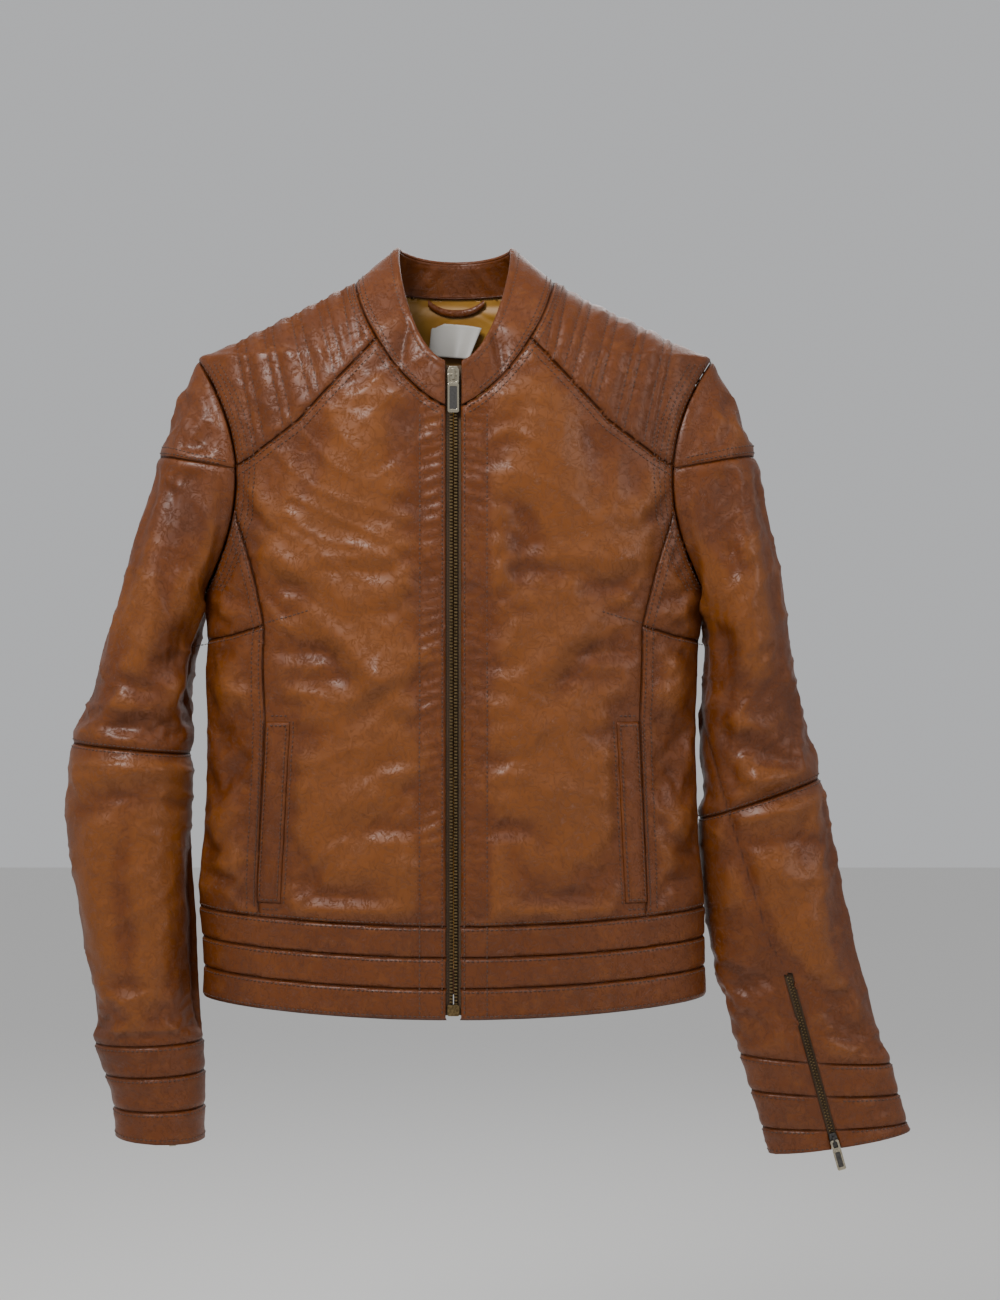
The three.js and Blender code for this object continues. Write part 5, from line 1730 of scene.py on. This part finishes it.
def body_stitch_rows():
    rows = []
    for distance in (2.6, 7.4):
        rows += body_row(FRONT_YOKE, -1, -distance)
        rows += body_row(BACK_YOKE, 1, -distance)
        rows += body_row(FRONT_PRINCESS, -1, distance)
        rows += body_row(BACK_PRINCESS, 1, distance)
    rows += body_row(FRONT_WAIST, -1, -2.4)
    rows += body_row([(-x, z) for x, z in DART], -1, -2.0)
    for side, path in QUILT:
        rows += body_row(path, side)
    angles = np.linspace(0.30, np.pi - 0.05, 50)
    x, z = armhole(angles)
    for distance in (3.0, 7.5, 12.0, 16.5):
        for side in (-1, 1) if distance < 8 else (-1,):
            rows += both_halves(x - distance, z, side)
    turns = np.linspace(0.05, np.pi / 2 - 0.12, 40)
    for grow in (3.0, 7.5):
        for front in (True, False):
            x = (NECK_HALF + grow) * np.sin(turns)
            z = neck_line(x, front, grow)
            keep = (x > OPENING_HALF + 3) | (not front)
            rows += both_halves(x[keep], z[keep], -1 if front else 1)
    z = np.linspace(-NECK_DROP_FRONT - 3, -BODY_LENGTH + 3, 150)
    for reach in (OPENING_HALF + 2.6, PLACKET):
        at = z[z < -NECK_DROP_FRONT + 0.28 * reach - 4]
        rows += both_halves(reach + 0 * at, at, -1)
    for band in range(3):
        rows += ring_row(HEM_TOP + band * HEM_BAND + 2.6)
    rows += ring_row(HEM_TOP - 2.6)
    rows += ring_row(BODY_LENGTH - 3.0)
    for at, lift in ((WELT_TOP + 4.5, STITCH_LIFT), (WELT_BOTTOM - 4.5, STITCH_LIFT),
                     (WELT_TOP - 3, 1.7), (WELT_BOTTOM + 3, 1.7)):
        z = np.full(9, at)
        rows += both_halves(welt_centre(z) + np.linspace(-7.5, 7.5, 9), z, -1, lift)
    for edge, past, lift in ((10.8, 3, STITCH_LIFT), (6.2, -3, 1.75)):
        z = np.linspace(WELT_TOP + min(past, 2), WELT_BOTTOM - past, 60)
        for reach in (-edge, edge):
            rows += both_halves(welt_centre(z) + reach, z, -1, lift)
    return rows


def sleeve_row(side, turns, ats):
    """A stitch row on a sleeve through (turn, at) places."""
    ats = np.broadcast_to(np.asarray(ats, float), turns.shape)
    points = sleeve_surface(side, turns, ats)
    normal = surface_normals(side, turns, ats)
    height, _ = sleeve_relief(side, points, turns, ats)
    return points + normal * (height + STITCH_LIFT)[:, None], normal


def sleeve_stitch_rows(side):
    """Rows above the cap's seam, on both sides of the elbow's seam and on the cuff bands."""
    turns = np.linspace(0, 1, 150)
    last = len(SLEEVES[side]) - 1
    cap = cap_seam_at(side, turns)
    keep = cap > 0.3
    upper = [sleeve_row(side, turns[keep][k], (cap - gap / 40)[keep][k]) for gap in (2.6, 6.8)
             for k in split_runs(turns[keep])]
    elbow = [sleeve_row(side, turns, at) for at in (ELBOW_AT - 2.8 / 52, ELBOW_AT + 2.8 / 60)]
    slit = 0.265 if side == "left" else 0.735
    gap = 0.035
    ring_turns = np.linspace(slit + gap, slit + 1 - gap, 150)
    cuff_ats = [seam + 2.6 / 25 for seam in CUFF_SEAMS[side]] + [last - 3.0 / 22]
    return upper, elbow, [sleeve_row(side, ring_turns, at) for at in cuff_ats]


def collar_row(up):
    """A stitch row on the collar at a share of its height."""
    share = np.linspace(0.03, 0.97, 160)
    points = collar_surface(share, up + 0 * share)
    across = collar_surface(share + 1e-3, up + 0 * share) - collar_surface(share - 1e-3, up + 0 * share)
    rise = collar_surface(share, up + 0.02 + 0 * share) - points
    normal = unit(np.cross(rise, across))
    flip = np.sign(np.sum(normal * points * [1, 1, 0], axis=1, keepdims=True))
    normal *= np.where(flip == 0, 1, flip)
    return points + normal * (collar_relief(share, up, points) + 0.15)[:, None], normal


def split_runs(turns):
    """Slices of the places that follow one another without a jump."""
    breaks = np.where(np.diff(turns) > 0.02)[0] + 1
    edges = [0, *breaks.tolist(), len(turns)]
    return [slice(a, b) for a, b in zip(edges, edges[1:]) if b - a > 3]


def build_stitches():
    collar_rows = [collar_row(up) for up in (0.07, 0.17, 0.86)]
    item = stitches("body_stitches", body_stitch_rows() + collar_rows, THREAD_LOOK)
    finish_piece(item, "jacket", "leather")
    for side in ("left", "right"):
        upper, elbow, cuffs = sleeve_stitch_rows(side)
        finish_piece(stitches(f"{side}_cap_stitches", upper, THREAD_LOOK), "jacket", "leather")
        finish_piece(stitches(f"{side}_elbow_stitches", elbow, THREAD_LOOK), elbow_blend(side), "leather")
        finish_piece(stitches(f"{side}_cuff_stitches", cuffs, THREAD_LOOK), f"{side}_forearm", "leather")


build_stitches()


# ---- Floor, light and camera -------------------------------------------------------------------------
def lamp(name, place, aim, size, power):
    data = bpy.data.lights.new(name, "AREA")
    data.shape = "RECTANGLE"
    data.size, data.size_y = size
    data.energy = power
    item = add_object(name, data)
    item.location = place
    item.rotation_euler = (Vector(aim) - Vector(place)).to_track_quat("-Z", "Y").to_euler()


def add_stage():
    floor_look = Nodes("pale_floor")
    floor_look.set(Base_Color=(0.80, 0.79, 0.77, 1), Roughness=0.9)
    bpy.ops.mesh.primitive_plane_add(size=14, location=(0, 0, -1.15))
    floor = bpy.context.object
    floor.name = "floor"
    floor.data.materials.append(floor_look.material)
    world = bpy.data.worlds.new("pale_studio")
    world.use_nodes = True
    back = world.node_tree.nodes["Background"]
    back.inputs["Color"].default_value = (0.86, 0.87, 0.89, 1)
    back.inputs["Strength"].default_value = 0.60
    bpy.context.scene.world = world
    lamp("key", (-0.55, -1.1, 0.85), (0.02, 0, -0.22), (0.5, 0.5), 27)
    lamp("fill", (1.5, -1.1, 0.3), (0.02, 0, -0.35), (0.5, 1.2), 8)
    lamp("back", (0.2, 1.5, 0.9), (0.02, 0, -0.3), (1.4, 1.0), 16)
    camera = add_object("camera", bpy.data.cameras.new("camera"))
    camera.data.lens = 62
    camera.data.sensor_width = 36
    camera.location = (0.036, -1.8, -0.295)
    camera.rotation_euler = (math.radians(90), 0, 0)
    bpy.context.scene.camera = camera


add_stage()
